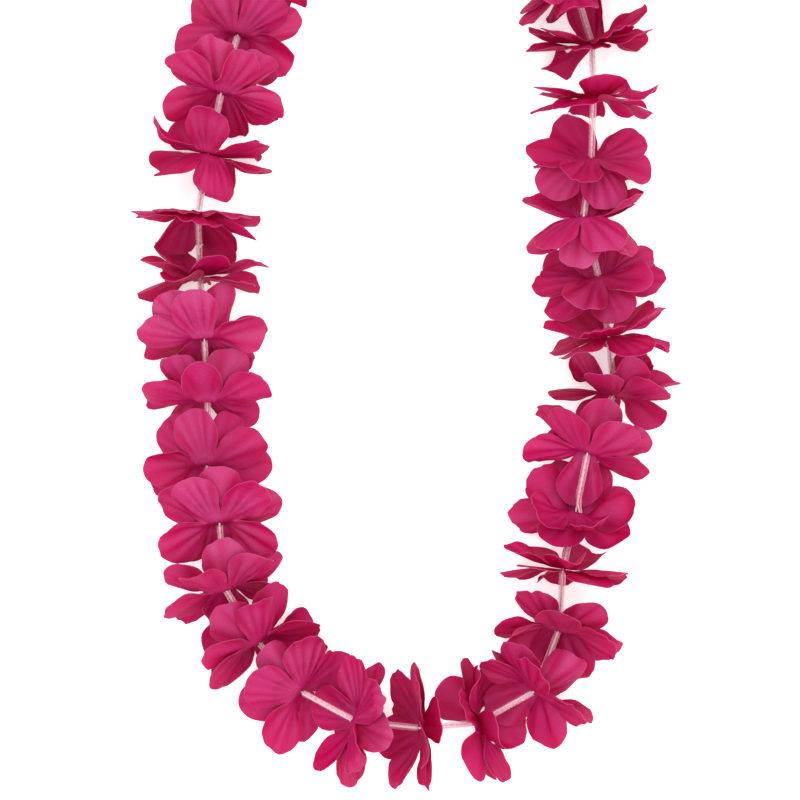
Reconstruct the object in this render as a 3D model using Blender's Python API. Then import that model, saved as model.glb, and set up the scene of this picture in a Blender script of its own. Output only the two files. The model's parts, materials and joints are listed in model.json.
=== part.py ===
"""Artificial flower lei: fabric blooms and clear tube spacers threaded on one closed cord.

The lei lies on a table. Every bloom is two five-petalled fabric layers pressed together at
the hub, and a tube spacer stands between each two blooms. Millimetres are used while the
shapes are worked out, and the meshes are made in metres.
"""
import math
import random
from collections import namedtuple
from functools import cache

import bpy
from mathutils import Vector
from mathutils.bvhtree import BVHTree

MM = 0.001
UP = Vector((0.0, 0.0, 1.0))

# Tube spacers and cord
TUBE_LENGTH = 27.5
TUBE_RADIUS = 1.6
BORE_RADIUS = 1.15
TUBE_SIDES = 8
END_GAP = 1.65
PITCH = TUBE_LENGTH + 2.0 * END_GAP
CORD_RADIUS = 0.45
CORD_SIDES = 6
KNOT_RADIUS = 1.5
KNOT_GAP = 5.6
TAIL_LENGTH = 5.0

# Bloom
PETALS = 5
PETAL_STEP = 360.0 / PETALS
CLOTH = 0.6
HUB_OFFSET = 0.35
HUB_RADIUS = 4.0
HOLE_RADIUS = 1.1
WIDE_HOLE_RADIUS = 2.5
PETAL_ROWS = ((14.0, 8.0), (24.0, 12.0))
PETAL_TIP = 31.0
LIFT_SHARES = (0.8, 1.0, 1.15)
ROLL = 14.0
ARCH = 1.6
CURL = 14.0
LIFT_SPREAD = 8.0
OPEN_LIFTS = (12.0, 0.0)
OPEN_FALL = 18.0

# Clearances
PETAL_GAP = 0.3
LAYER_GAP = 0.03
ROOT_SHARE = 0.12
PRESS_CROSSINGS = 6
TABLE = 0.0
SHARP_FROM = math.radians(60.0)

# The loop's box centre, so that the origin is the middle of its footprint
FOOTPRINT_X = 3.3
FOOTPRINT_Y = 46.6

FABRIC = ((0.479, 0.016, 0.103, 1.0), 0.55)
CLEAR = ((0.90, 0.84, 0.86, 1.0), 0.12)
THREAD = ((0.86, 0.82, 0.82, 1.0), 0.70)

# A bloom on the string: where its hole is, how far it leans back from standing across the
# string, the lifts of its front and back layer, the turn of its first petal, and how far the
# petals that stand up in each layer have fallen over, in degrees
Bloom = namedtuple("Bloom", "x y z lean lifts turn falls", defaults=((0.0, 0.0),))


def facing(x, y, z, lean, turn):
    """A bloom that opens as a shallow cup, whose upper petals fall back from where it faces."""
    near, far = OPEN_LIFTS
    lifts, fall = ((near, far), -OPEN_FALL) if lean >= 0.0 else ((-far, -near), OPEN_FALL)
    return Bloom(x, y, z, lean, lifts, turn, (fall, fall))


LEFT = (
    facing(-75.5, 168.0, 12.0, 55.0, 61.0),
    Bloom(-82.5, 141.0, 27.0, 32.0, (14.0, 2.0), 3.0, (-32.0, -30.0)),
    Bloom(-89.0, 113.0, 14.0, 0.0, (10.0, -10.0), 62.0, (46.0, -44.0)),
    Bloom(-93.0, 85.5, 28.0, 12.0, (30.0, 12.0), 10.0),
    Bloom(-92.5, 56.5, 16.0, 4.0, (6.0, -14.0), 40.0),
    facing(-90.0, 29.0, 28.0, 48.0, 22.0),
    facing(-89.0, 1.0, 15.0, 54.0, 22.0),
    facing(-90.0, -30.0, 10.0, 60.0, 25.0),
    facing(-83.0, -56.0, 26.0, 42.0, 45.0),
    facing(-81.5, -87.0, 20.0, 42.0, 40.0),
    facing(-67.0, -111.0, 10.0, 48.0, 67.0),
    facing(-46.0, -136.0, 11.0, 44.0, 41.0),
)
BOTTOM = (
    facing(-20.0, -148.5, 24.0, -46.0, 20.0),
    Bloom(10.0, -151.0, 28.0, -14.0, (-12.0, -26.0), 0.0, (0.0, 10.0)),
    Bloom(36.0, -150.0, 11.0, 30.0, (16.0, 2.0), 30.0, (20.0, 20.0)),
    Bloom(63.0, -135.0, 16.0, -28.0, (2.0, -10.0), 34.0, (26.0, 26.0)),
)
RIGHT = (
    Bloom(74.0, -105.0, 14.0, -46.0, (0.0, -12.0), 48.0, (16.0, 16.0)),
    Bloom(75.0, -77.5, 27.0, 8.0, (14.0, -6.0), 20.0),
    Bloom(81.5, -51.5, 11.0, 70.0, (36.0, 24.0), 38.0),
    Bloom(87.0, -24.0, 19.0, -30.0, (14.0, -2.0), 14.0, (34.0, 36.0)),
    Bloom(98.5, 2.0, 12.0, -14.0, (22.0, -16.0), 30.0, (22.0, 40.0)),
    Bloom(96.0, 29.0, 27.0, 8.0, (26.0, -12.0), 8.0),
    Bloom(92.0, 56.5, 14.0, 60.0, (14.0, 2.0), 64.0, (16.0, 14.0)),
    Bloom(84.5, 84.0, 26.0, 24.0, (14.0, 2.0), 44.0, (-38.0, -32.0)),
    Bloom(88.5, 112.0, 14.0, 38.0, (2.0, -10.0), 4.0, (-12.0, -12.0)),
    Bloom(89.0, 139.0, 26.0, 4.0, (10.0, -8.0), 26.0),
    Bloom(89.0, 164.5, 11.0, 16.0, (20.0, 8.0), 45.0),
    Bloom(81.0, 190.0, 24.0, 4.0, (12.0, -8.0), 40.0),
)

# The stretch that closes the loop behind the neck: heights and leans in turn, on a round arc
CLOSING_HEIGHTS = (17.0, 19.0)
CLOSING_LEANS = (-40.0, 40.0)
CLOSING_COUNT = 6
CLOSING_RISE = 66.0
CLOSING_TURN = 18.0

SETTLE_ROUNDS = 500
SETTLE_FREE_ROUNDS = 150
SETTLE_PULL = 0.05
LOWEST_CENTRE = 9.0
HIGHEST_CENTRE = 30.0

# The tries for a petal that would touch another: changes of lift, sideways swing and reach,
# and what each costs. A bloom whose petals find no clear place is drawn again, calmer.
LIFT_TRIES = [6.0 * step for step in range(-15, 16)]
SWING_TRIES = (0.0, 6.0, -6.0, 12.0, -12.0)
REACH_TRIES = (1.0, 0.93, 0.86, 0.79, 0.72, 0.65, 0.55)
LIFT_COST = 1.0 / 6.0
SWING_COST = 0.3
REACH_COST = 45.0
DRAWS = 24
CALMER = 0.93


def clear_scene():
    for item in list(bpy.data.objects):
        bpy.data.objects.remove(item, do_unlink=True)


def make_material(name, finish):
    colour, roughness = finish
    material = bpy.data.materials.new(name)
    material.use_nodes = True
    shader = material.node_tree.nodes["Principled BSDF"]
    shader.inputs["Base Color"].default_value = colour
    shader.inputs["Roughness"].default_value = roughness
    shader.inputs["Metallic"].default_value = 0.0
    return material


def make_object(name, points, faces, material, sharp_from=None):
    """An object in metres, shaded smooth where its faces meet at less than this angle."""
    mesh = bpy.data.meshes.new(name)
    shift = Vector((FOOTPRINT_X, FOOTPRINT_Y, 0.0))
    mesh.from_pydata([(point - shift) * MM for point in points], [], faces)
    mesh.materials.append(material)
    if sharp_from:
        mesh.shade_smooth()
        mesh.set_sharp_from_angle(angle=sharp_from)
    item = bpy.data.objects.new(name, mesh)
    bpy.context.scene.collection.objects.link(item)
    return item


# The string

def closing_blooms(first, last):
    """The blooms from the last one of the right side, over the arc, back to the first."""
    start = Vector((last.x, last.y))
    end = Vector((first.x, first.y))
    half = (end - start).length / 2.0
    radius = (half * half + CLOSING_RISE * CLOSING_RISE) / (2.0 * CLOSING_RISE)
    out = Vector((start.y - end.y, end.x - start.x)).normalized() * -1.0
    centre = (start + end) / 2.0 + out * (CLOSING_RISE - radius)
    sweep = 2.0 * math.atan2(half, radius - CLOSING_RISE)
    blooms = []
    for index in range(CLOSING_COUNT):
        angle = sweep * ((index + 1.0) / (CLOSING_COUNT + 1.0) - 0.5)
        axis = (start - end).normalized()
        spot = centre + out * radius * math.cos(angle) - axis * radius * math.sin(angle)
        height = CLOSING_HEIGHTS[index % 2]
        lean = CLOSING_LEANS[index % 2]
        blooms.append(facing(spot.x, spot.y, height, lean, CLOSING_TURN))
    return blooms


def settle_string(blooms):
    """Centres one pitch apart all round the loop, as near their own places as that allows."""
    wanted = [Vector((bloom.x, bloom.y, bloom.z)) for bloom in blooms]
    centres = [spot.copy() for spot in wanted]
    count = len(centres)
    for turn in range(SETTLE_ROUNDS):
        for index in range(count):
            after = (index + 1) % count
            step = centres[after] - centres[index]
            push = step * (0.5 * (step.length - PITCH) / step.length)
            centres[index] += push
            centres[after] -= push
        if turn < SETTLE_ROUNDS - SETTLE_FREE_ROUNDS:
            for index in range(count):
                centres[index] += (wanted[index] - centres[index]) * SETTLE_PULL
                height = min(max(centres[index].z, LOWEST_CENTRE), HIGHEST_CENTRE)
                centres[index].z = height
    return centres


def string_frame(centres, index):
    """The string's direction at a bloom, the level direction across it, and the third."""
    centre = centres[index]
    into = (centre - centres[index - 1]).normalized()
    out = (centres[(index + 1) % len(centres)] - centre).normalized()
    along = (into + out).normalized()
    side = UP.cross(along).normalized()
    return along, side, along.cross(side)


def ring_round(centres, index, closed, radius, sides):
    """A ring of points on the plane that halves the bend of the string at this point."""
    count = len(centres)
    into = out = None
    if closed or index > 0:
        into = (centres[index] - centres[index - 1]).normalized()
    if closed or index < count - 1:
        out = (centres[(index + 1) % count] - centres[index]).normalized()
    into = into or out
    out = out or into
    plane = (into + out).normalized()
    side = UP.cross(into).normalized()
    rise = into.cross(side)
    points = []
    for step in range(sides):
        angle = 2.0 * math.pi * (step + 0.5) / sides
        spoke = (side * math.cos(angle) + rise * math.sin(angle)) * radius
        points.append(centres[index] + spoke - into * (spoke.dot(plane) / into.dot(plane)))
    return points


def skin_between(start, other, sides):
    """Two triangles for each side between two rings, given by their first numbers."""
    faces = []
    for step in range(sides):
        after = (step + 1) % sides
        faces.append((start + step, start + after, other + after))
        faces.append((start + step, other + after, other + step))
    return faces


def cord_shape(centres):
    points = []
    faces = []
    count = len(centres)
    for index in range(count):
        points.extend(ring_round(centres, index, True, CORD_RADIUS, CORD_SIDES))
        after = (index + 1) % count
        faces.extend(skin_between(index * CORD_SIDES, after * CORD_SIDES, CORD_SIDES))
    return points, faces


def rod_shape(start, end, radius, sides):
    points = []
    for index in range(2):
        points.extend(ring_round((start, end), index, False, radius, sides))
    faces = skin_between(0, sides, sides)
    for step in range(1, sides - 1):
        faces.append((0, step + 1, step))
        faces.append((sides, sides + step, sides + step + 1))
    return points, faces


def ball_shape(centre, along, radius, sides):
    """A lump of four rings between two poles."""
    side = UP.cross(along).normalized()
    rise = along.cross(side)
    points = [centre - along * radius]
    rings = 4
    for ring in range(1, rings + 1):
        polar = math.pi * ring / (rings + 1)
        for step in range(sides):
            angle = 2.0 * math.pi * step / sides
            spoke = side * math.cos(angle) + rise * math.sin(angle)
            points.append(centre + (spoke * math.sin(polar) - along * math.cos(polar)) * radius)
    points.append(centre + along * radius)
    faces = []
    last = len(points) - 1
    for step in range(sides):
        after = (step + 1) % sides
        faces.append((0, 1 + after, 1 + step))
        faces.append((last, last - sides + step, last - sides + after))
    for ring in range(rings - 1):
        faces.extend(skin_between(1 + ring * sides, 1 + (ring + 1) * sides, sides))
    return points, faces


def tube_shape(spots):
    """A hollow tube along a chain of points."""
    points = []
    count = len(spots)
    for radius in (TUBE_RADIUS, BORE_RADIUS):
        for index in range(count):
            points.extend(ring_round(spots, index, False, radius, TUBE_SIDES))
    bore = count * TUBE_SIDES
    faces = []
    for index in range(count - 1):
        ring = index * TUBE_SIDES
        faces.extend(skin_between(ring, ring + TUBE_SIDES, TUBE_SIDES))
        faces.extend(skin_between(bore + ring + TUBE_SIDES, bore + ring, TUBE_SIDES))
    last = (count - 1) * TUBE_SIDES
    faces.extend(skin_between(bore, 0, TUBE_SIDES))
    faces.extend(skin_between(last, bore + last, TUBE_SIDES))
    return points, faces


def tube_ends(start, end, start_gap=END_GAP, end_gap=END_GAP):
    along = (end - start).normalized()
    return start + along * start_gap, end - along * end_gap


# Petals and blooms

PETAL_FACES = (
    (0, 3, 4), (0, 4, 1), (1, 4, 5), (1, 5, 2),
    (3, 6, 7), (3, 7, 4), (4, 7, 8), (4, 8, 5),
    (6, 9, 7), (7, 9, 8),
)
OUTER_FACES = PETAL_FACES[4:]


def polar(frame, centre, radius, angle):
    """A point in the hub's plane."""
    side, rise = frame[1], frame[2]
    return centre + (side * math.cos(angle) + rise * math.sin(angle)) * radius


class Petal:
    """One petal: its own draw of roll, arch, curl and lift, and the points that come of it."""

    def __init__(self, bloom, number, centre, frame, layer, place):
        self.bloom = bloom
        self.centre = centre
        self.frame = frame
        self.layer = layer
        self.place = place
        self.number = number
        self.angle = math.radians(bloom.turn + PETAL_STEP * (place + 0.5 * layer))
        self.points = None
        self.pressed = False

    def redraw(self, attempt):
        """Another draw, calmer each time."""
        seed = 10000 * attempt + 1000 * self.number + 10 * self.layer + self.place
        draw = random.Random(seed)
        calm = CALMER ** attempt
        self.roll = math.radians(draw.uniform(-ROLL, ROLL) * calm)
        self.arch = draw.uniform(0.4, 1.0) * ARCH
        self.curl = draw.uniform(-0.5, 1.0) * CURL * calm
        spread = draw.uniform(-LIFT_SPREAD, LIFT_SPREAD) * calm
        fall = self.bloom.falls[self.layer] * max(math.sin(self.angle), 0.0)
        self.lift = self.bloom.lifts[self.layer] + spread + fall

    def offset(self):
        """From the bloom's centre to the middle of this layer's hub.

        It halves the angle between the string and the leaned petals, so that the two layers
        are as far apart at the petals' roots as at the hub.
        """
        along, side, rise = self.frame
        half_lean = math.radians(self.bloom.lean) / 2.0
        apart = HUB_OFFSET if self.layer == 0 else -HUB_OFFSET
        return (along + rise * math.tan(half_lean)) * apart

    def ring(self):
        """The notch before the petal, its middle on the hub's rim, and the notch after."""
        half = math.radians(PETAL_STEP / 2.0)
        middle = self.centre + self.offset()
        turns = (self.angle - half, self.angle, self.angle + half)
        return [polar(self.frame, middle, HUB_RADIUS, turn) for turn in turns]

    def shape(self, extra_lift, swing, reach):
        """The middle surface of the petal: three points on the rim, then two rows and a tip."""
        along, side, rise = self.frame
        lean = math.radians(self.bloom.lean)
        front = along * math.cos(lean) + rise * math.sin(lean)
        back = rise * math.cos(lean) - along * math.sin(lean)
        angle = self.angle + math.radians(swing)
        out = side * math.cos(angle) + back * math.sin(angle)
        across = back * math.cos(angle) - side * math.sin(angle)
        way = 1.0 if self.lift + extra_lift >= 0.0 else -1.0
        points = self.ring()
        spot = points[1]
        reached = HUB_RADIUS
        rows = list(PETAL_ROWS) + [(PETAL_TIP, 0.0)]
        for number, (radius, half_width) in enumerate(rows):
            tilt = (self.lift + extra_lift) * LIFT_SHARES[number]
            tilt = math.radians(tilt + way * self.curl * number / 2.0)
            heading = out * math.cos(tilt) + front * math.sin(tilt)
            normal = front * math.cos(tilt) - out * math.sin(tilt)
            span = (radius - reached) * reach
            reached = radius
            spot = step_above_table(spot, heading, span, front * way)
            if half_width:
                wide = across * math.cos(self.roll) + normal * math.sin(self.roll)
                bow = normal * (self.arch * way)
                for sign in (-1.0, 0.0, 1.0):
                    edge = spot + wide * (sign * half_width * reach) + bow * abs(sign)
                    edge.z = max(edge.z, TABLE + CLOTH / 2.0)
                    points.append(edge)
            else:
                points.append(spot)
        return points


def step_above_table(spot, heading, span, drift):
    """The next point of a petal, which turns along the table where it would go through."""
    after = spot + heading * span
    floor = TABLE + CLOTH / 2.0
    if after.z >= floor:
        return after
    drop = max(spot.z - floor, 0.0)
    flat = Vector((heading.x, heading.y, 0.0)) + Vector((drift.x, drift.y, 0.0)) * 0.3
    flat.normalize()
    level = math.sqrt(max(span * span - drop * drop, 0.0))
    after = spot + flat * level
    after.z = floor
    return after


def offset_faces(points, faces, half):
    """The two faces of a sheet round its middle surface, flat where it lies on the table."""
    normals = [Vector() for point in points]
    for face in faces:
        a, b, c = (points[corner] for corner in face)
        normal = (b - a).cross(c - a)
        for corner in face:
            normals[corner] += normal
    upper = []
    lower = []
    floor = TABLE + CLOTH / 2.0
    for point, normal in zip(points, normals):
        shift = normal.normalized() * half
        high = point + shift
        low = point - shift
        if point.z <= floor + 1e-4:
            top, bottom = (high, low) if high.z >= low.z else (low, high)
            top.z = floor + half
            bottom.z = floor - half
        upper.append(high)
        lower.append(low)
    return upper, lower


def rim_edges(faces):
    """The edges that only one face has, each in that face's direction."""
    edges = {edge for face in faces for edge in zip(face, face[1:] + face[:1])}
    return [edge for edge in sorted(edges) if (edge[1], edge[0]) not in edges]


def wall(first, second, count):
    """The two triangles of the sheet's side along one edge of its rim."""
    return [(second, first, count + first), (second, count + first, count + second)]


def thicken(points, faces, half):
    """A closed sheet round a middle surface, cut into the same triangles on both faces."""
    upper, lower = offset_faces(points, faces, half)
    count = len(points)
    solid = list(faces)
    solid.extend(tuple(count + corner for corner in reversed(face)) for face in faces)
    for first, second in rim_edges(faces):
        solid.extend(wall(first, second, count))
    return upper + lower, solid


def sheet_tree(points, faces, half):
    used = sorted({corner for face in faces for corner in face})
    index = {corner: place for place, corner in enumerate(used)}
    renumbered = [tuple(index[corner] for corner in face) for face in faces]
    return BVHTree.FromPolygons(*thicken([points[corner] for corner in used], renumbered, half))


def crosses_itself(points, faces):
    """Whether two faces that share no corner cross."""
    tree = BVHTree.FromPolygons(points, faces)
    return any(not set(faces[first]) & set(faces[second])
               for first, second in tree.overlap(tree) if first < second)


def freed_root(points):
    """The petal's middle surface from just past the root that it shares with its neighbours."""
    roots = [root.lerp(points[3 + place], ROOT_SHARE) for place, root in enumerate(points[:3])]
    return roots + points[3:]


@cache
def tries():
    """Every change of lift, swing and reach, the smallest first."""
    listed = []
    for lift in LIFT_TRIES:
        for swing in SWING_TRIES:
            for reach in REACH_TRIES:
                cost = abs(lift) * LIFT_COST + abs(swing) * SWING_COST
                cost += (1.0 - reach) * REACH_COST
                listed.append((cost, lift, swing, reach))
    listed.sort()
    return [choice for cost, *choice in listed]


class Crowd:
    """What is already in place, so that the next petal can be kept clear of it."""

    def __init__(self):
        self.items = []

    def add(self, group, middle, tree, bloom=None, freed=None):
        self.items.append((group, middle, tree, bloom, freed))

    def touches(self, petal, group, points):
        half = CLOTH / 2.0
        apart = sheet_tree(points, PETAL_FACES, half + PETAL_GAP)
        close = sheet_tree(freed_root(points), PETAL_FACES, half + LAYER_GAP)
        for other, middle, tree, bloom, freed in self.items:
            if (middle - petal.centre).length > 2.3 * PETAL_TIP:
                continue
            if bloom == petal.number:
                hit = close.overlap(freed)
            else:
                hit = other != group and apart.overlap(tree)
            if hit:
                return True
        return False

    def presses(self, petal, group, points):
        """Whether the petal crosses one of the other bloom that shares its node."""
        tree = sheet_tree(points, OUTER_FACES, CLOTH / 2.0)
        for other, middle, other_tree, bloom, freed in self.items:
            if other == group and freed and bloom != petal.number:
                if len(tree.overlap(other_tree)) >= PRESS_CROSSINGS:
                    return True
        return False


def place_petal(petal, group, crowd):
    """Give the petal the first try in which it is clear of all that is in place."""
    for lift, swing, reach in tries():
        points = petal.shape(lift, swing, reach)
        if petal.pressed and not crowd.presses(petal, group, points):
            continue
        if crowd.touches(petal, group, points):
            continue
        if crosses_itself(*thicken(points, PETAL_FACES, CLOTH / 2.0)):
            continue
        petal.points = points
        half = CLOTH / 2.0
        crowd.add(
            group,
            petal.centre,
            sheet_tree(points, PETAL_FACES, half),
            petal.number,
            sheet_tree(freed_root(points), PETAL_FACES, half),
        )
        return True
    return False


def place_bloom(petals, group, hole_radius, crowd):
    """Draw the bloom's petals until they all have a place and none of its faces cross."""
    kept = len(crowd.items)
    order = sorted(petals, key=lambda petal: petal.pressed)
    layers = [[petal for petal in petals if petal.layer == layer] for layer in range(2)]
    for attempt in range(DRAWS):
        del crowd.items[kept:]
        for petal in petals:
            petal.redraw(attempt)
        if all(place_petal(petal, group, crowd) for petal in order):
            shape = bloom_shape(*layers, hole_radius)
            if not crosses_itself(*shape):
                return shape
    raise RuntimeError(f"no clear place for the petals of bloom {petals[0].number + 1}")


def hub_faces():
    """Triangles between the hole's points and the rim's, twice as many."""
    faces = []
    for place in range(PETALS):
        after = (place + 1) % PETALS
        rim = PETALS + 2 * place
        next_rim = PETALS + 2 * after
        faces.append((place, rim, rim + 1))
        faces.append((place, rim + 1, after))
        faces.append((after, rim + 1, next_rim))
    return faces


def layer_surface(petals, hole_radius):
    """The middle surface of one layer: the hole's points, the rim's, then the petals'."""
    first = petals[0]
    middle = first.centre + first.offset()
    turn = math.radians(first.bloom.turn)
    step = math.radians(PETAL_STEP)
    points = [polar(first.frame, middle, hole_radius, turn + step * place)
              for place in range(PETALS)]
    rim_count = 2 * PETALS
    points.extend(polar(first.frame, middle, HUB_RADIUS, turn + step * place / 2.0)
                  for place in range(rim_count))
    faces = []
    for petal in petals:
        centre = 2 * petal.place + petal.layer
        lookup = [PETALS + (centre + turn) % rim_count for turn in (-1, 0, 1)]
        lookup.extend(range(len(points), len(points) + 7))
        points.extend(petal.points[3:])
        faces.extend(tuple(lookup[corner] for corner in face) for face in PETAL_FACES)
    return points, faces


def bloom_shape(front, back, hole_radius):
    """Both layers in one closed body: they are pressed together between their hubs' rims."""
    points = []
    faces = []
    sides = []
    for layer, petals in enumerate((front, back)):
        surface, petal_faces = layer_surface(petals, hole_radius)
        hub = hub_faces()
        upper, lower = offset_faces(surface, petal_faces + hub, CLOTH / 2.0)
        count = len(surface)
        start = len(points)
        points.extend(upper + lower)
        upper_faces = petal_faces + (hub if layer == 0 else [])
        lower_faces = petal_faces + (hub if layer == 1 else [])
        local = list(upper_faces)
        local.extend(tuple(count + corner for corner in reversed(face)) for face in lower_faces)
        for first, second in rim_edges(petal_faces + hub):
            if max(first, second) >= PETALS:
                local.extend(wall(first, second, count))
        faces.extend(tuple(start + corner for corner in face) for face in local)
        sides.append((start, start + count))
    front_upper, front_lower = sides[0]
    back_upper, back_lower = sides[1]
    for place in range(2 * PETALS):
        here = PETALS + place
        after = PETALS + (place + 1) % (2 * PETALS)
        faces.append((back_upper + here, back_upper + after, front_lower + after))
        faces.append((back_upper + here, front_lower + after, front_lower + here))
    for here in range(PETALS):
        after = (here + 1) % PETALS
        faces.append((front_upper + here, front_upper + after, back_lower + after))
        faces.append((front_upper + here, back_lower + after, back_lower + here))
    used = sorted({corner for face in faces for corner in face})
    index = {corner: place for place, corner in enumerate(used)}
    points = [points[corner] for corner in used]
    return points, [tuple(index[corner] for corner in face) for face in faces]


def join_shapes(name, shapes, material):
    """One body from several closed shapes, by a Boolean union."""
    base = make_object(name, *shapes[0], material)
    group = bpy.data.collections.new(name + "_parts")
    extras = []
    for number, shape in enumerate(shapes[1:]):
        extra = make_object(f"{name}_part_{number}", *shape, material)
        extras.append(extra)
        group.objects.link(extra)
    union = base.modifiers.new("union", "BOOLEAN")
    union.operation = "UNION"
    union.operand_type = "COLLECTION"
    union.collection = group
    union.solver = "EXACT"
    union.use_self = True
    graph = bpy.context.evaluated_depsgraph_get()
    mesh = bpy.data.meshes.new_from_object(base.evaluated_get(graph))
    base.modifiers.remove(union)
    base.data = mesh
    base.data.name = name
    for extra in extras:
        bpy.data.objects.remove(extra, do_unlink=True)
    bpy.data.collections.remove(group)
    return base


def make_lei():
    fabric = make_material("magenta fabric", FABRIC)
    clear = make_material("clear plastic", CLEAR)
    thread = make_material("cord", THREAD)
    shown = LEFT + BOTTOM + RIGHT
    blooms = list(shown) + closing_blooms(LEFT[0], RIGHT[-1])
    centres = settle_string(blooms)
    count = len(centres)
    groups = [index if index < len(shown) else len(shown) + (index - len(shown)) // 2
              for index in range(count)]
    crowd = Crowd()

    # Tubes between the blooms, and one run of tubes along the closing arc
    tubes = []
    for index in range(len(shown) - 1):
        spots = tube_ends(centres[index], centres[index + 1])
        tubes.append((f"tube_{index + 1:02d}", spots))
    last = len(shown) - 1
    run_start = tube_ends(centres[last], centres[last + 1])[0]
    run_end = tube_ends(centres[-1], centres[0], END_GAP, KNOT_GAP)[1]
    tubes.append(("tube_run", [run_start] + centres[last + 1:] + [run_end]))
    for name, spots in tubes:
        shape = tube_shape(spots)
        make_object(name, *shape, clear, SHARP_FROM)
        for start, end in zip(spots, spots[1:]):
            piece = rod_shape(start, end, TUBE_RADIUS, TUBE_SIDES)
            crowd.add(None, (start + end) / 2.0, BVHTree.FromPolygons(*piece))

    # The cord with its knot before the first bloom
    into = (centres[0] - centres[-1]).normalized()
    knot_spot = centres[0] - into * (KNOT_GAP + 1.0) / 2.0
    knot = ball_shape(knot_spot, into, KNOT_RADIUS, 8)
    aside = UP.cross(into).normalized()
    tails = []
    for sign in (-1.0, 1.0):
        root = knot_spot + aside * (sign * KNOT_RADIUS * 0.5)
        tip = root + (aside * sign - UP * 0.5 - into * 0.4).normalized() * TAIL_LENGTH
        tails.append(rod_shape(root, tip, CORD_RADIUS, CORD_SIDES))
    join_shapes("cord", [cord_shape(centres), knot] + tails, thread)
    for shape in [knot] + tails:
        crowd.add(None, knot_spot, BVHTree.FromPolygons(*shape))

    # The hubs are in the way of other blooms' petals too
    frames = [string_frame(centres, index) for index in range(count)]
    for index in range(count):
        along = frames[index][0] * (HUB_OFFSET + CLOTH / 2.0)
        disc = rod_shape(centres[index] - along, centres[index] + along, HUB_RADIUS, 8)
        crowd.add(groups[index], centres[index], BVHTree.FromPolygons(*disc))

    # The blooms that lean most are placed first
    shapes = {}
    for index in sorted(range(count), key=lambda index: -abs(blooms[index].lean)):
        group = groups[index]
        petals = [Petal(blooms[index], index, centres[index], frames[index], layer, place)
                  for layer in range(2) for place in range(PETALS)]
        petals[PETALS].pressed = index > 0 and groups[index - 1] == group
        hole_radius = HOLE_RADIUS if groups.count(group) == 1 else WIDE_HOLE_RADIUS
        shapes[index] = place_bloom(petals, group, hole_radius, crowd)

    # One node for each bloom along the sides, and one for each two along the closing arc
    for group in sorted(set(groups)):
        members = [shapes[index] for index in range(count) if groups[index] == group]
        if len(members) == 1:
            make_object(f"bloom_{group + 1:02d}", *members[0], fabric)
        else:
            join_shapes(f"bloom_pair_{group - len(shown) + 1}", members, fabric)


clear_scene()
make_lei()
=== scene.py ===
"""An artificial flower lei: the finish of its blooms, tube spacers and cord.

The lei lies flat on a pale floor and is seen from straight above. Shapes are worked out in
millimetres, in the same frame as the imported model, and the meshes are made in metres. The
string and the petals' places follow the same rule and the same numbers as the solids do, so
that every fabric layer lies where its solid is.
"""
import json
import math
import random
from collections import namedtuple
from functools import cache
from itertools import product

import bpy
import numpy as np
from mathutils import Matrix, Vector
from mathutils.bvhtree import BVHTree

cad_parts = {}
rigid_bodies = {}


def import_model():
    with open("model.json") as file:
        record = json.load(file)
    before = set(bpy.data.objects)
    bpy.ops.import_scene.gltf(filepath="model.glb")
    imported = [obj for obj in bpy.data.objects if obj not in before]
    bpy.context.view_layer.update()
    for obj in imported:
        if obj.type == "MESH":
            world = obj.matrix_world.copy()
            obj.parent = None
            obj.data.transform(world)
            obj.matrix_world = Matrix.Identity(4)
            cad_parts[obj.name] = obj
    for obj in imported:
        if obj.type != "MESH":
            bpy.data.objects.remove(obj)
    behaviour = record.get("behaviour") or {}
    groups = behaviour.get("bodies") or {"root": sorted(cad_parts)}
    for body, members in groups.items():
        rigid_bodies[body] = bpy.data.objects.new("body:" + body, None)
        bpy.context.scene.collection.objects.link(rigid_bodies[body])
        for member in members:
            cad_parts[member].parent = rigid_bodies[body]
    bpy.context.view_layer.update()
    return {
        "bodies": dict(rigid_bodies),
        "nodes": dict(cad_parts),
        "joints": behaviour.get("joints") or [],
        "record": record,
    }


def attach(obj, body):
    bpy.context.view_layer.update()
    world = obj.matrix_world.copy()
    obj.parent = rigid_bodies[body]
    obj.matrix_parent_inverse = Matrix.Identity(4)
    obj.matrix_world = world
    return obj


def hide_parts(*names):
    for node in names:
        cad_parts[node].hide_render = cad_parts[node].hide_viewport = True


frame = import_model()

bl_info = {
    "name": "Artificial Flower Lei",
    "version": (1, 0, 0),
    "blender": (4, 5, 0),
    "location": "View3D > Sidebar > Lei",
    "description": "Makes the fabric blooms, clear tubes and cord of a flower lei",
    "category": "Object",
}

MM = 0.001
UP = Vector((0.0, 0.0, 1.0))

# The string and the solids' petals, with the numbers of the solids
TUBE_LENGTH = 27.5
TUBE_RADIUS = 1.6
TUBE_SIDES = 8
END_GAP = 1.65
PITCH = TUBE_LENGTH + 2.0 * END_GAP
CORD_RADIUS = 0.45
CORD_SIDES = 6
KNOT_RADIUS = 1.5
KNOT_SIDES = 8
KNOT_GAP = 5.6
KNOT_SHIFT = 1.0
TAIL_LENGTH = 5.0
TAIL_SPREAD = 0.5
TAIL_DROP = 0.5
TAIL_BACK = 0.4

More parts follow.
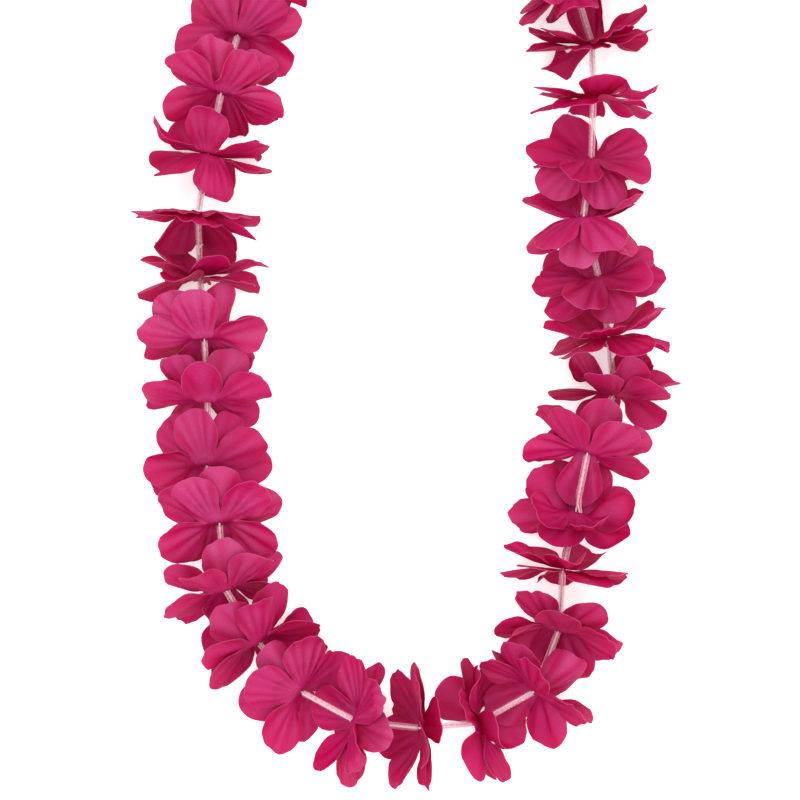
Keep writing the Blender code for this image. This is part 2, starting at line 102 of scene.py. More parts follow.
# A bloom's solid: two layers of five petals round a hub
PETALS = 5
PETAL_STEP = 360.0 / PETALS
CLOTH = 0.6
HUB_OFFSET = 0.35
HUB_RADIUS = 4.0
HUB_SIDES = 8
HOLE_RADIUS = 1.1
WIDE_HOLE_RADIUS = 2.5
PETAL_ROWS = ((14.0, 8.0), (24.0, 12.0))
PETAL_TIP = 31.0
LIFT_SHARES = (0.8, 1.0, 1.15)
ROLL = 14.0
ARCH = 1.6
ARCH_SHARES = (0.4, 1.0)
CURL = 14.0
CURL_SHARES = (-0.5, 1.0)
LIFT_SPREAD = 8.0
OPEN_LIFTS = (12.0, 0.0)
OPEN_FALL = 18.0
FREE_POINTS = 7

# Clearances, and how near two blooms have to be for their petals to be compared
NEAR = 2.3 * PETAL_TIP
PETAL_GAP = 0.3
LAYER_GAP = 0.03
ROOT_SHARE = 0.12
PRESS_CROSSINGS = 6
TABLE = 0.0
ON_TABLE = 1e-4
TABLE_DRIFT = 0.3

# The loop's box centre, so that the origin is the middle of its footprint
FOOTPRINT_X = 3.3
FOOTPRINT_Y = 46.6

# A bloom on the string: where its hole is, how far it leans back from standing across the
# string, the lifts of its front and back layer, the turn of its first petal, and how far the
# petals that stand up in each layer have fallen over, in degrees
Bloom = namedtuple("Bloom", "x y z lean lifts turn falls", defaults=((0.0, 0.0),))


def facing(x, y, z, lean, turn):
    """A bloom that opens as a shallow cup, whose upper petals fall back from where it faces."""
    near, far = OPEN_LIFTS
    lifts, fall = ((near, far), -OPEN_FALL) if lean >= 0.0 else ((-far, -near), OPEN_FALL)
    return Bloom(x, y, z, lean, lifts, turn, (fall, fall))


LEFT = (
    facing(-75.5, 168.0, 12.0, 55.0, 61.0),
    Bloom(-82.5, 141.0, 27.0, 32.0, (14.0, 2.0), 3.0, (-32.0, -30.0)),
    Bloom(-89.0, 113.0, 14.0, 0.0, (10.0, -10.0), 62.0, (46.0, -44.0)),
    Bloom(-93.0, 85.5, 28.0, 12.0, (30.0, 12.0), 10.0),
    Bloom(-92.5, 56.5, 16.0, 4.0, (6.0, -14.0), 40.0),
    facing(-90.0, 29.0, 28.0, 48.0, 22.0),
    facing(-89.0, 1.0, 15.0, 54.0, 22.0),
    facing(-90.0, -30.0, 10.0, 60.0, 25.0),
    facing(-83.0, -56.0, 26.0, 42.0, 45.0),
    facing(-81.5, -87.0, 20.0, 42.0, 40.0),
    facing(-67.0, -111.0, 10.0, 48.0, 67.0),
    facing(-46.0, -136.0, 11.0, 44.0, 41.0),
)
BOTTOM = (
    facing(-20.0, -148.5, 24.0, -46.0, 20.0),
    Bloom(10.0, -151.0, 28.0, -14.0, (-12.0, -26.0), 0.0, (0.0, 10.0)),
    Bloom(36.0, -150.0, 11.0, 30.0, (16.0, 2.0), 30.0, (20.0, 20.0)),
    Bloom(63.0, -135.0, 16.0, -28.0, (2.0, -10.0), 34.0, (26.0, 26.0)),
)
RIGHT = (
    Bloom(74.0, -105.0, 14.0, -46.0, (0.0, -12.0), 48.0, (16.0, 16.0)),
    Bloom(75.0, -77.5, 27.0, 8.0, (14.0, -6.0), 20.0),
    Bloom(81.5, -51.5, 11.0, 70.0, (36.0, 24.0), 38.0),
    Bloom(87.0, -24.0, 19.0, -30.0, (14.0, -2.0), 14.0, (34.0, 36.0)),
    Bloom(98.5, 2.0, 12.0, -14.0, (22.0, -16.0), 30.0, (22.0, 40.0)),
    Bloom(96.0, 29.0, 27.0, 8.0, (26.0, -12.0), 8.0),
    Bloom(92.0, 56.5, 14.0, 60.0, (14.0, 2.0), 64.0, (16.0, 14.0)),
    Bloom(84.5, 84.0, 26.0, 24.0, (14.0, 2.0), 44.0, (-38.0, -32.0)),
    Bloom(88.5, 112.0, 14.0, 38.0, (2.0, -10.0), 4.0, (-12.0, -12.0)),
    Bloom(89.0, 139.0, 26.0, 4.0, (10.0, -8.0), 26.0),
    Bloom(89.0, 164.5, 11.0, 16.0, (20.0, 8.0), 45.0),
    Bloom(81.0, 190.0, 24.0, 4.0, (12.0, -8.0), 40.0),
)

# The stretch that closes the loop behind the neck: heights and leans in turn, on a round arc
CLOSING_HEIGHTS = (17.0, 19.0)
CLOSING_LEANS = (-40.0, 40.0)
CLOSING_COUNT = 6
CLOSING_RISE = 66.0
CLOSING_TURN = 18.0

SETTLE_ROUNDS = 500
SETTLE_FREE_ROUNDS = 150
SETTLE_PULL = 0.05
LOWEST_CENTRE = 9.0
HIGHEST_CENTRE = 30.0

# The tries for a petal that would touch another: changes of lift, sideways swing and reach,
# and what each costs. A bloom whose petals find no clear place is drawn again, calmer.
LIFT_TRIES = [6.0 * step for step in range(-15, 16)]
SWING_TRIES = (0.0, 6.0, -6.0, 12.0, -12.0)
REACH_TRIES = (1.0, 0.93, 0.86, 0.79, 0.72, 0.65, 0.55)
LIFT_COST = 1.0 / 6.0
SWING_COST = 0.3
REACH_COST = 45.0
DRAWS = 24
CALMER = 0.93


# The string

def closing_blooms(first, last):
    """The blooms from the last one of the right side, over the arc, back to the first."""
    start = Vector((last.x, last.y))
    end = Vector((first.x, first.y))
    half = (end - start).length / 2.0
    radius = (half * half + CLOSING_RISE * CLOSING_RISE) / (2.0 * CLOSING_RISE)
    out = Vector((start.y - end.y, end.x - start.x)).normalized() * -1.0
    centre = (start + end) / 2.0 + out * (CLOSING_RISE - radius)
    sweep = 2.0 * math.atan2(half, radius - CLOSING_RISE)
    blooms = []
    for index in range(CLOSING_COUNT):
        angle = sweep * ((index + 1.0) / (CLOSING_COUNT + 1.0) - 0.5)
        axis = (start - end).normalized()
        spot = centre + out * radius * math.cos(angle) - axis * radius * math.sin(angle)
        height = CLOSING_HEIGHTS[index % 2]
        lean = CLOSING_LEANS[index % 2]
        blooms.append(facing(spot.x, spot.y, height, lean, CLOSING_TURN))
    return blooms


def settle_string(blooms):
    """Centres one pitch apart all round the loop, as near their own places as that allows."""
    wanted = [Vector((bloom.x, bloom.y, bloom.z)) for bloom in blooms]
    centres = [spot.copy() for spot in wanted]
    count = len(centres)
    for turn in range(SETTLE_ROUNDS):
        for index in range(count):
            after = (index + 1) % count
            step = centres[after] - centres[index]
            push = step * (0.5 * (step.length - PITCH) / step.length)
            centres[index] += push
            centres[after] -= push
        if turn < SETTLE_ROUNDS - SETTLE_FREE_ROUNDS:
            for index in range(count):
                centres[index] += (wanted[index] - centres[index]) * SETTLE_PULL
                height = min(max(centres[index].z, LOWEST_CENTRE), HIGHEST_CENTRE)
                centres[index].z = height
    return centres


def string_frame(centres, index):
    """The string's direction at a bloom, the level direction across it, and the third."""
    centre = centres[index]
    into = (centre - centres[index - 1]).normalized()
    out = (centres[(index + 1) % len(centres)] - centre).normalized()
    along = (into + out).normalized()
    side = UP.cross(along).normalized()
    return along, side, along.cross(side)


def ring_round(centres, index, closed, radius, sides):
    """A ring of points on the plane that halves the bend of the string at this point."""
    count = len(centres)
    into = out = None
    if closed or index > 0:
        into = (centres[index] - centres[index - 1]).normalized()
    if closed or index < count - 1:
        out = (centres[(index + 1) % count] - centres[index]).normalized()
    into = into or out
    out = out or into
    plane = (into + out).normalized()
    side = UP.cross(into).normalized()
    rise = into.cross(side)
    points = []
    for step in range(sides):
        angle = 2.0 * math.pi * (step + 0.5) / sides
        spoke = (side * math.cos(angle) + rise * math.sin(angle)) * radius
        points.append(centres[index] + spoke - into * (spoke.dot(plane) / into.dot(plane)))
    return points


def skin_between(start, other, sides):
    """Two triangles for each side between two rings, given by their first numbers."""
    faces = []
    for step in range(sides):
        after = (step + 1) % sides
        faces.append((start + step, start + after, other + after))
        faces.append((start + step, other + after, other + step))
    return faces


def rod_shape(start, end, radius, sides):
    """A straight closed rod."""
    points = []
    for index in range(2):
        points.extend(ring_round((start, end), index, False, radius, sides))
    faces = skin_between(0, sides, sides)
    for step in range(1, sides - 1):
        faces.append((0, step + 1, step))
        faces.append((sides, sides + step, sides + step + 1))
    return points, faces


def ball_shape(centre, along, radius, sides):
    """A lump of four rings between two poles."""
    side = UP.cross(along).normalized()
    rise = along.cross(side)
    points = [centre - along * radius]
    rings = 4
    for ring in range(1, rings + 1):
        down = math.pi * ring / (rings + 1)
        for step in range(sides):
            angle = 2.0 * math.pi * step / sides
            spoke = side * math.cos(angle) + rise * math.sin(angle)
            points.append(centre + (spoke * math.sin(down) - along * math.cos(down)) * radius)
    points.append(centre + along * radius)
    faces = []
    last = len(points) - 1
    for step in range(sides):
        after = (step + 1) % sides
        faces.append((0, 1 + after, 1 + step))
        faces.append((last, last - sides + step, last - sides + after))
    for ring in range(rings - 1):
        faces.extend(skin_between(1 + ring * sides, 1 + (ring + 1) * sides, sides))
    return points, faces


def tube_ends(start, end, start_gap=END_GAP, end_gap=END_GAP):
    """Both ends of the tube between two blooms."""
    along = (end - start).normalized()
    return start + along * start_gap, end - along * end_gap


# Petals and blooms

PETAL_FACES = (
    (0, 3, 4), (0, 4, 1), (1, 4, 5), (1, 5, 2),
    (3, 6, 7), (3, 7, 4), (4, 7, 8), (4, 8, 5),
    (6, 9, 7), (7, 9, 8),
)
OUTER_FACES = PETAL_FACES[4:]


def polar(frame, centre, radius, angle):
    """A point in the hub's plane."""
    side, rise = frame[1], frame[2]
    return centre + (side * math.cos(angle) + rise * math.sin(angle)) * radius


class Petal:
    """One petal: its own draw of roll, arch, curl and lift, and the points that come of it."""

    def __init__(self, bloom, number, centre, frame, layer, place):
        self.bloom = bloom
        self.centre = centre
        self.frame = frame
        self.layer = layer
        self.place = place
        self.number = number
        self.angle = math.radians(bloom.turn + PETAL_STEP * (place + 0.5 * layer))
        self.points = None
        self.pressed = False

    def redraw(self, attempt):
        """Another draw, calmer each time."""
        seed = 10000 * attempt + 1000 * self.number + 10 * self.layer + self.place
        draw = random.Random(seed)
        calm = CALMER ** attempt
        self.roll = math.radians(draw.uniform(-ROLL, ROLL) * calm)
        self.arch = draw.uniform(*ARCH_SHARES) * ARCH
        self.curl = draw.uniform(*CURL_SHARES) * CURL * calm
        spread = draw.uniform(-LIFT_SPREAD, LIFT_SPREAD) * calm
        fall = self.bloom.falls[self.layer] * max(math.sin(self.angle), 0.0)
        self.lift = self.bloom.lifts[self.layer] + spread + fall

    def offset(self):
        """From the bloom's centre to the middle of this layer's hub.

        It halves the angle between the string and the leaned petals, so that the two layers
        are as far apart at the petals' roots as at the hub.
        """
        along, rise = self.frame[0], self.frame[2]
        half_lean = math.radians(self.bloom.lean) / 2.0
        apart = HUB_OFFSET if self.layer == 0 else -HUB_OFFSET
        return (along + rise * math.tan(half_lean)) * apart

    def ring(self):
        """The notch before the petal, its middle on the hub's rim, and the notch after."""
        half = math.radians(PETAL_STEP / 2.0)
        middle = self.centre + self.offset()
        turns = (self.angle - half, self.angle, self.angle + half)
        return [polar(self.frame, middle, HUB_RADIUS, turn) for turn in turns]

    def shape(self, extra_lift, swing, reach):
        """The middle surface of the petal: three points on the rim, then two rows and a tip."""
        along, side, rise = self.frame
        lean = math.radians(self.bloom.lean)
        front = along * math.cos(lean) + rise * math.sin(lean)
        back = rise * math.cos(lean) - along * math.sin(lean)
        angle = self.angle + math.radians(swing)
        out = side * math.cos(angle) + back * math.sin(angle)
        across = back * math.cos(angle) - side * math.sin(angle)
        way = 1.0 if self.lift + extra_lift >= 0.0 else -1.0
        points = self.ring()
        spot = points[1]
        reached = HUB_RADIUS
        rows = list(PETAL_ROWS) + [(PETAL_TIP, 0.0)]
        for number, (radius, half_width) in enumerate(rows):
            tilt = (self.lift + extra_lift) * LIFT_SHARES[number]
            tilt = math.radians(tilt + way * self.curl * number / 2.0)
            heading = out * math.cos(tilt) + front * math.sin(tilt)
            normal = front * math.cos(tilt) - out * math.sin(tilt)
            span = (radius - reached) * reach
            reached = radius
            spot = step_above_table(spot, heading, span, front * way)
            if half_width:
                wide = across * math.cos(self.roll) + normal * math.sin(self.roll)
                bow = normal * (self.arch * way)
                for sign in (-1.0, 0.0, 1.0):
                    edge = spot + wide * (sign * half_width * reach) + bow * abs(sign)
                    edge.z = max(edge.z, TABLE + CLOTH / 2.0)
                    points.append(edge)
            else:
                points.append(spot)
        return points


def step_above_table(spot, heading, span, drift):
    """The next point of a petal, which turns along the table where it would go through."""
    after = spot + heading * span
    floor = TABLE + CLOTH / 2.0
    if after.z >= floor:
        return after
    drop = max(spot.z - floor, 0.0)
    flat = Vector((heading.x, heading.y, 0.0))
    flat += Vector((drift.x, drift.y, 0.0)) * TABLE_DRIFT
    flat.normalize()
    level = math.sqrt(max(span * span - drop * drop, 0.0))
    after = spot + flat * level
    after.z = floor
    return after


def offset_faces(points, faces, half):
    """The two faces of a sheet round its middle surface, flat where it lies on the table."""
    normals = [Vector() for point in points]
    for face in faces:
        a, b, c = (points[corner] for corner in face)
        normal = (b - a).cross(c - a)
        for corner in face:
            normals[corner] += normal
    upper = []
    lower = []
    floor = TABLE + CLOTH / 2.0
    for point, normal in zip(points, normals):
        shift = normal.normalized() * half
        high = point + shift
        low = point - shift
        if point.z <= floor + ON_TABLE:
            top, bottom = (high, low) if high.z >= low.z else (low, high)
            top.z = floor + half
            bottom.z = floor - half
        upper.append(high)
        lower.append(low)
    return upper, lower


def rim_edges(faces):
    """The edges that only one face has, each in that face's direction."""
    edges = {edge for face in faces for edge in zip(face, face[1:] + face[:1])}
    return [edge for edge in sorted(edges) if (edge[1], edge[0]) not in edges]


def wall(first, second, count):
    """The two triangles of the sheet's side along one edge of its rim."""
    return [(second, first, count + first), (second, count + first, count + second)]


def thicken(points, faces, half):
    """A closed sheet round a middle surface, cut into the same triangles on both faces."""
    upper, lower = offset_faces(points, faces, half)
    count = len(points)
    solid = list(faces)
    solid.extend(tuple(count + corner for corner in reversed(face)) for face in faces)
    for first, second in rim_edges(faces):
        solid.extend(wall(first, second, count))
    return upper + lower, solid


def sheet_tree(points, faces, half):
    """A search tree of the closed sheet round these faces."""
    used = sorted({corner for face in faces for corner in face})
    index = {corner: place for place, corner in enumerate(used)}
    renumbered = [tuple(index[corner] for corner in face) for face in faces]
    return BVHTree.FromPolygons(*thicken([points[corner] for corner in used], renumbered, half))


def crosses_itself(points, faces):
    """Whether two faces that share no corner cross."""
    tree = BVHTree.FromPolygons(points, faces)
    return any(not set(faces[first]) & set(faces[second])
               for first, second in tree.overlap(tree) if first < second)


def freed_root(points):
    """The petal's middle surface from just past the root that it shares with its neighbours."""
    roots = [root.lerp(points[3 + place], ROOT_SHARE) for place, root in enumerate(points[:3])]
    return roots + points[3:]


@cache
def tries():
    """Every change of lift, swing and reach, the smallest first."""
    listed = []
    for lift, swing, reach in product(LIFT_TRIES, SWING_TRIES, REACH_TRIES):
        cost = abs(lift) * LIFT_COST + abs(swing) * SWING_COST
        cost += (1.0 - reach) * REACH_COST
        listed.append((cost, lift, swing, reach))
    listed.sort()
    return [choice for cost, *choice in listed]


class Crowd:
    """What is already in place, so that the next petal can be kept clear of it."""

    def __init__(self):
        self.items = []

    def add(self, group, middle, tree, bloom=None, freed=None):
        """Put a shape in place: its node's group, its middle, and for a petal its bloom."""
        self.items.append((group, middle, tree, bloom, freed))

    def touches(self, petal, group, points):
        """Whether the petal is nearer to what is in place than its gap allows."""
        half = CLOTH / 2.0
        apart = sheet_tree(points, PETAL_FACES, half + PETAL_GAP)
        close = sheet_tree(freed_root(points), PETAL_FACES, half + LAYER_GAP)
        for other, middle, tree, bloom, freed in self.items:
            if (middle - petal.centre).length > NEAR:
                continue
            if bloom == petal.number:
                hit = close.overlap(freed)
            else:
                hit = other != group and apart.overlap(tree)
            if hit:
                return True
        return False

    def presses(self, petal, group, points):
        """Whether the petal crosses one of the other bloom that shares its node."""
        tree = sheet_tree(points, OUTER_FACES, CLOTH / 2.0)
        for other, middle, other_tree, bloom, freed in self.items:
            if other == group and freed and bloom != petal.number:
                if len(tree.overlap(other_tree)) >= PRESS_CROSSINGS:
                    return True
        return False


def place_petal(petal, group, crowd):
    """Give the petal the first try in which it is clear of all that is in place."""
    for lift, swing, reach in tries():
        points = petal.shape(lift, swing, reach)
        if petal.pressed and not crowd.presses(petal, group, points):
            continue
        if crowd.touches(petal, group, points):
            continue
        if crosses_itself(*thicken(points, PETAL_FACES, CLOTH / 2.0)):
            continue
        petal.points = points
        petal.choice = (lift, swing, reach)
        half = CLOTH / 2.0
        crowd.add(
            group,
            petal.centre,
            sheet_tree(points, PETAL_FACES, half),
            petal.number,
            sheet_tree(freed_root(points), PETAL_FACES, half),
        )
        return True
    return False


def place_bloom(petals, group, hole_radius, crowd):
    """Draw the bloom's petals until they all have a place and none of its faces cross."""
    kept = len(crowd.items)
    order = sorted(petals, key=lambda petal: petal.pressed)
    layers = [[petal for petal in petals if petal.layer == layer] for layer in range(2)]
    for attempt in range(DRAWS):
        del crowd.items[kept:]
        for petal in petals:
            petal.redraw(attempt)
        if all(place_petal(petal, group, crowd) for petal in order):
            shape = bloom_shape(*layers, hole_radius)
            if not crosses_itself(*shape):
                return shape
    raise RuntimeError(f"no clear place for the petals of bloom {petals[0].number + 1}")


def hub_faces():
    """Triangles between the hole's points and the rim's, twice as many."""
    faces = []
    for place in range(PETALS):
        after = (place + 1) % PETALS
        rim = PETALS + 2 * place
        next_rim = PETALS + 2 * after
        faces.append((place, rim, rim + 1))
        faces.append((place, rim + 1, after))
        faces.append((after, rim + 1, next_rim))
    return faces


def layer_surface(petals, hole_radius):
    """The middle surface of one layer: the hole's points, the rim's, then the petals'."""
    first = petals[0]
    middle = first.centre + first.offset()
    turn = math.radians(first.bloom.turn)
    step = math.radians(PETAL_STEP)
    points = [polar(first.frame, middle, hole_radius, turn + step * place)
              for place in range(PETALS)]
    rim_count = 2 * PETALS
    points.extend(polar(first.frame, middle, HUB_RADIUS, turn + step * place / 2.0)
                  for place in range(rim_count))
    faces = []
    for petal in petals:
        centre = 2 * petal.place + petal.layer
        lookup = [PETALS + (centre + turn) % rim_count for turn in (-1, 0, 1)]
        lookup.extend(range(len(points), len(points) + FREE_POINTS))
        points.extend(petal.points[3:])
        faces.extend(tuple(lookup[corner] for corner in face) for face in PETAL_FACES)
    return points, faces


def bloom_shape(front, back, hole_radius):
    """Both layers in one closed body: they are pressed together between their hubs' rims."""
    points = []
    faces = []
    sides = []
    for layer, petals in enumerate((front, back)):
        surface, petal_faces = layer_surface(petals, hole_radius)
        hub = hub_faces()
        upper, lower = offset_faces(surface, petal_faces + hub, CLOTH / 2.0)
        count = len(surface)
        start = len(points)
        points.extend(upper + lower)
        upper_faces = petal_faces + (hub if layer == 0 else [])
        lower_faces = petal_faces + (hub if layer == 1 else [])
        local = list(upper_faces)
        local.extend(tuple(count + corner for corner in reversed(face)) for face in lower_faces)
        for first, second in rim_edges(petal_faces + hub):
            if max(first, second) >= PETALS:
                local.extend(wall(first, second, count))
        faces.extend(tuple(start + corner for corner in face) for face in local)
        sides.append((start, start + count))
    front_upper, front_lower = sides[0]
    back_upper, back_lower = sides[1]
    for place in range(2 * PETALS):
        here = PETALS + place
        after = PETALS + (place + 1) % (2 * PETALS)
        faces.append((back_upper + here, back_upper + after, front_lower + after))
        faces.append((back_upper + here, front_lower + after, front_lower + here))
    for here in range(PETALS):
        after = (here + 1) % PETALS
        faces.append((front_upper + here, front_upper + after, back_lower + after))
        faces.append((front_upper + here, back_lower + after, back_lower + here))
    used = sorted({corner for face in faces for corner in face})
    index = {corner: place for place, corner in enumerate(used)}
    points = [points[corner] for corner in used]
    return points, [tuple(index[corner] for corner in face) for face in faces]


# The flat cut of one fabric petal: two straight slits from the hub and a round end
ROUND_CENTRE = 19.8
ROUND_RADIUS = 11.0
COLUMNS = 25
ROWS = 15
EDGE_BAND = 0.4
HUB_ROWS = 3
SLIT_ROW = 5
SLIT_FADE = 4
FINE_HOLE = 0.8
FINE_GAP = 0.28
FREE_ROWS = 2
FLOOR_GAP = 0.02
EASE_HEIGHT = 1.2
CLOTH_SIZE = 2.0 * (ROUND_CENTRE + ROUND_RADIUS)

# Its pressing: how many creases, how far out they lie, and where a lip may be folded, in degrees
RIB_COUNTS = (2, 3, 3, 4, 5)
RIB_WAYS = (1.0, 1.0, -1.0)
CREASE_SPREAD = 30.0
CREASE_SHARPNESS = 0.7
LIP_PLACES = (8.0, 22.0)
LIP_CHANCES = (0.0, 0.0, 0.4, 1.0)

# The least and the most of what is drawn for each petal, as shares of the settings or counts
RIB_SHARES = (0.3, 1.0)
RIB_LEFT = (0.2, 1.0)
LIP_SHARES = (0.3, 1.0)
HOOK_STARTS = (0.6, 0.85)
WAVE_SHARES = (0.1, 1.0)
WAVE_COUNTS = (1.2, 3.2)
SCALLOP_SHARES = (0.2, 1.0)
SCALLOP_COUNTS = (2.5, 5.5)

# Over which shares of a petal's length each bend comes in, and the second wave of its cut
RIBS_RISE = (0.02, 0.5)
RIBS_FADE = (0.5, 1.0)
LIP_RISE = (0.1, 0.6)
ROLL_RISE = (0.05, 0.7)
HOOK_END = 1.15
FOLDS_RISE = (0.02, 0.3)
NARROWS = (0.05, 0.4)
SHORTENS = (0.0, 0.3)
LEAVES_HUB = (0.0, 0.17)
BOW_WIDTH = 10.0
WAVE_PITCH = 2.2
WAVE_SPAN = 0.6
SCALLOP_TURNS = (2.2, 1.2)
SECOND_SCALLOP = 0.5
SECOND_PITCH = 2.3

# How many fine pleats go round a bloom, over two pi
PLEATS = 10.0

# The tubes and the cord, in millimetres: the crushed end is in the middle of an open bloom
TUBE_FACETS = 24
TUBE_CLEARANCE = 0.15
TUBE_CUTS = 7
SHARP_EDGE = math.radians(50.0)
CRUSHED_TUBE = 19
CRUSHED = 7.0
CRUSH = 0.8
CRUSH_ACROSS = 0.65
CRUSHED_BEND = (4.0, -5.5, 1.5)
CORD_STEP = 0.6
PLY_SIDES = 6
KNOT_POINTS = 48
KNOT_SCALE = 0.42
KNOT_DEPTH = 1.6
TAIL_STEPS = 8
TAIL_BOW = 0.5

# The tries for a fabric petal: share of its cup and folds, share of its width, lift and swing
CALM_TRIES = (1.0, 0.6, 0.25)
WIDTH_TRIES = (1.0, 0.92, 0.84)
FINE_LIFTS = (0.0, 2.0, -2.0, 4.0, -4.0, 7.0, -7.0, 10.0, -10.0, 14.0, -14.0)
FINE_SWINGS = (0.0, 3.0, -3.0, 6.0, -6.0)
CALM_COST = 2.0
WIDTH_COST = 20.0
FINE_LIFT_COST = 0.3
FINE_SWING_COST = 0.4


def eased(low, high, values):
    """From 0 at the low value to 1 at the high one, smoothly."""
    share = np.clip((values - low) / (high - low), 0.0, 1.0)
    return share * share * (3.0 - 2.0 * share)


@cache
def flat_lines():
    """The angle and the length of each line from the hub's middle to the cut's edge."""
    end = math.pi / 2.0 + math.asin(ROUND_RADIUS / ROUND_CENTRE)
    turns = np.linspace(-end, end, COLUMNS)
    x = ROUND_CENTRE + ROUND_RADIUS * np.cos(turns)
    y = ROUND_RADIUS * np.sin(turns)
    return np.arctan2(y, x), np.hypot(x, y), turns


class Folds:
    """How one petal was pressed: ribs between creases, a lip, a roll, a hook and its cut edge."""

    def __init__(self, petal, looks):
        draw = random.Random(70000 + 100 * petal.number + 10 * petal.layer + petal.place)
        count = draw.choice(RIB_COUNTS)
        angles = [-0.5 * math.pi]
        for step in range(count):
            middle = (step + 0.5) / count * 2.0 - 1.0 + draw.uniform(-0.5, 0.5) / count
            angles.append(math.radians(middle * CREASE_SPREAD))
        angles.append(0.5 * math.pi)
        self.angles = angles
        self.rib = draw.uniform(*RIB_SHARES) * looks.rib_depth / MM * draw.choice(RIB_WAYS)
        self.rib_left = draw.uniform(*RIB_LEFT)
        self.roll = math.radians(looks.roll) * draw.uniform(-1.0, 1.0) ** 3
        self.lip_angle = math.radians(draw.uniform(*LIP_PLACES)) * draw.choice((-1.0, 1.0))
        lip = draw.uniform(*LIP_SHARES) * draw.choice((-1.0, 1.0)) * draw.choice(LIP_CHANCES)
        self.lip = math.radians(looks.lip) * lip
        self.hook = draw.uniform(-1.0, 1.0) ** 3 * looks.hook / MM
        self.hook_start = draw.uniform(*HOOK_STARTS)
        self.wave = draw.uniform(*WAVE_SHARES) ** 2 * looks.rim_wave / MM
        self.wave_count = draw.uniform(*WAVE_COUNTS)
        self.wave_start = draw.uniform(0.0, 2.0 * math.pi)
        self.scallop = draw.uniform(*SCALLOP_SHARES) * looks.scallop / MM
        self.scallop_count = draw.uniform(*SCALLOP_COUNTS)
        self.tone = draw.uniform(0.0, 1.0)

    def edge(self, lengths, turns):
        """The lines' lengths, with the uneven cut round the petal's end."""
        wave = np.sin(turns * self.scallop_count + self.wave_start)
        second = np.sin(turns * self.scallop_count * SECOND_PITCH + 2.0 * self.wave_start)
        wave += SECOND_SCALLOP * second
        return lengths + self.scallop * wave * eased(*SCALLOP_TURNS, np.abs(turns))

    def pressed(self, angles, share, along, across, calm):
        """Where the cloth lies across the petal and off its plain bend, and how deep in a crease."""
        index = np.interp(angles, self.angles, range(len(self.angles)))
        valley = 1.0 - np.abs(np.sin(np.pi * index)) ** CREASE_SHARPNESS
        left = 1.0 + (self.rib_left - 1.0) * eased(*RIBS_FADE, share)
        rise = eased(*RIBS_RISE, share) * left
        ribs = self.rib * (0.5 - valley) * rise
        waves = np.sin(self.wave_count * WAVE_PITCH * angles / WAVE_SPAN + self.wave_start)
        rim = self.wave * waves * share ** 3
        hook = self.hook * eased(self.hook_start, HOOK_END, share) * 2.0

        # The part past the lip's crease turns up or down about it
        way = 1.0 if self.lip_angle > 0.0 else -1.0
        crease = along * math.tan(self.lip_angle)
        past = np.maximum((across - crease) * way, 0.0)
        turn = self.lip * calm * eased(*LIP_RISE, share)
        across = across - past * way * (1.0 - np.cos(turn))
        lip = past * np.sin(turn)

        # The whole width rolls up like a gutter
        bend = self.roll * calm * eased(*ROLL_RISE, share) / ROUND_RADIUS
        bend = np.where(np.abs(bend) < 1e-5, 1e-5, bend)
        rolled = np.sin(bend * across) / bend
        gutter = (1.0 - np.cos(bend * across)) / bend
        height = (ribs + rim + hook) * calm + lip * np.cos(bend * across) + gutter
        return rolled, height, valley * np.minimum(rise * 1.5, 1.0)


def line_weights(knots, where):
    """What each of four values weighs in a smooth line through them, and in its direction."""
    slopes = np.zeros((len(knots), len(knots)))
    for place in range(len(knots)):
        before = max(place - 1, 0)
        after = min(place + 1, len(knots) - 1)
        slopes[place, after] += 1.0 / (knots[after] - knots[before])
        slopes[place, before] -= 1.0 / (knots[after] - knots[before])
    span = np.clip(np.searchsorted(knots, where) - 1, 0, len(knots) - 2)
    length = (knots[span + 1] - knots[span])[..., None]
    share = ((where - knots[span])[..., None]) / length
    square, cube = share ** 2, share ** 3
    values = np.eye(len(knots))
    first, second = values[span], values[span + 1]
    into, out = slopes[span] * length, slopes[span + 1] * length
    weights = (
        first * (2.0 * cube - 3.0 * square + 1.0)
        + second * (3.0 * square - 2.0 * cube)
        + into * (cube - 2.0 * square + share)
        + out * (cube - square)
    )
    direction = (
        (second - first) * (6.0 * share - 6.0 * square)
        + into * (3.0 * square - 4.0 * share + 1.0)
        + out * (3.0 * square - 2.0 * share)
    )
    return weights, direction


def unit(vectors):
    """Each vector at a length of 1."""
    return vectors / np.maximum(np.linalg.norm(vectors, axis=-1, keepdims=True), 1e-9)


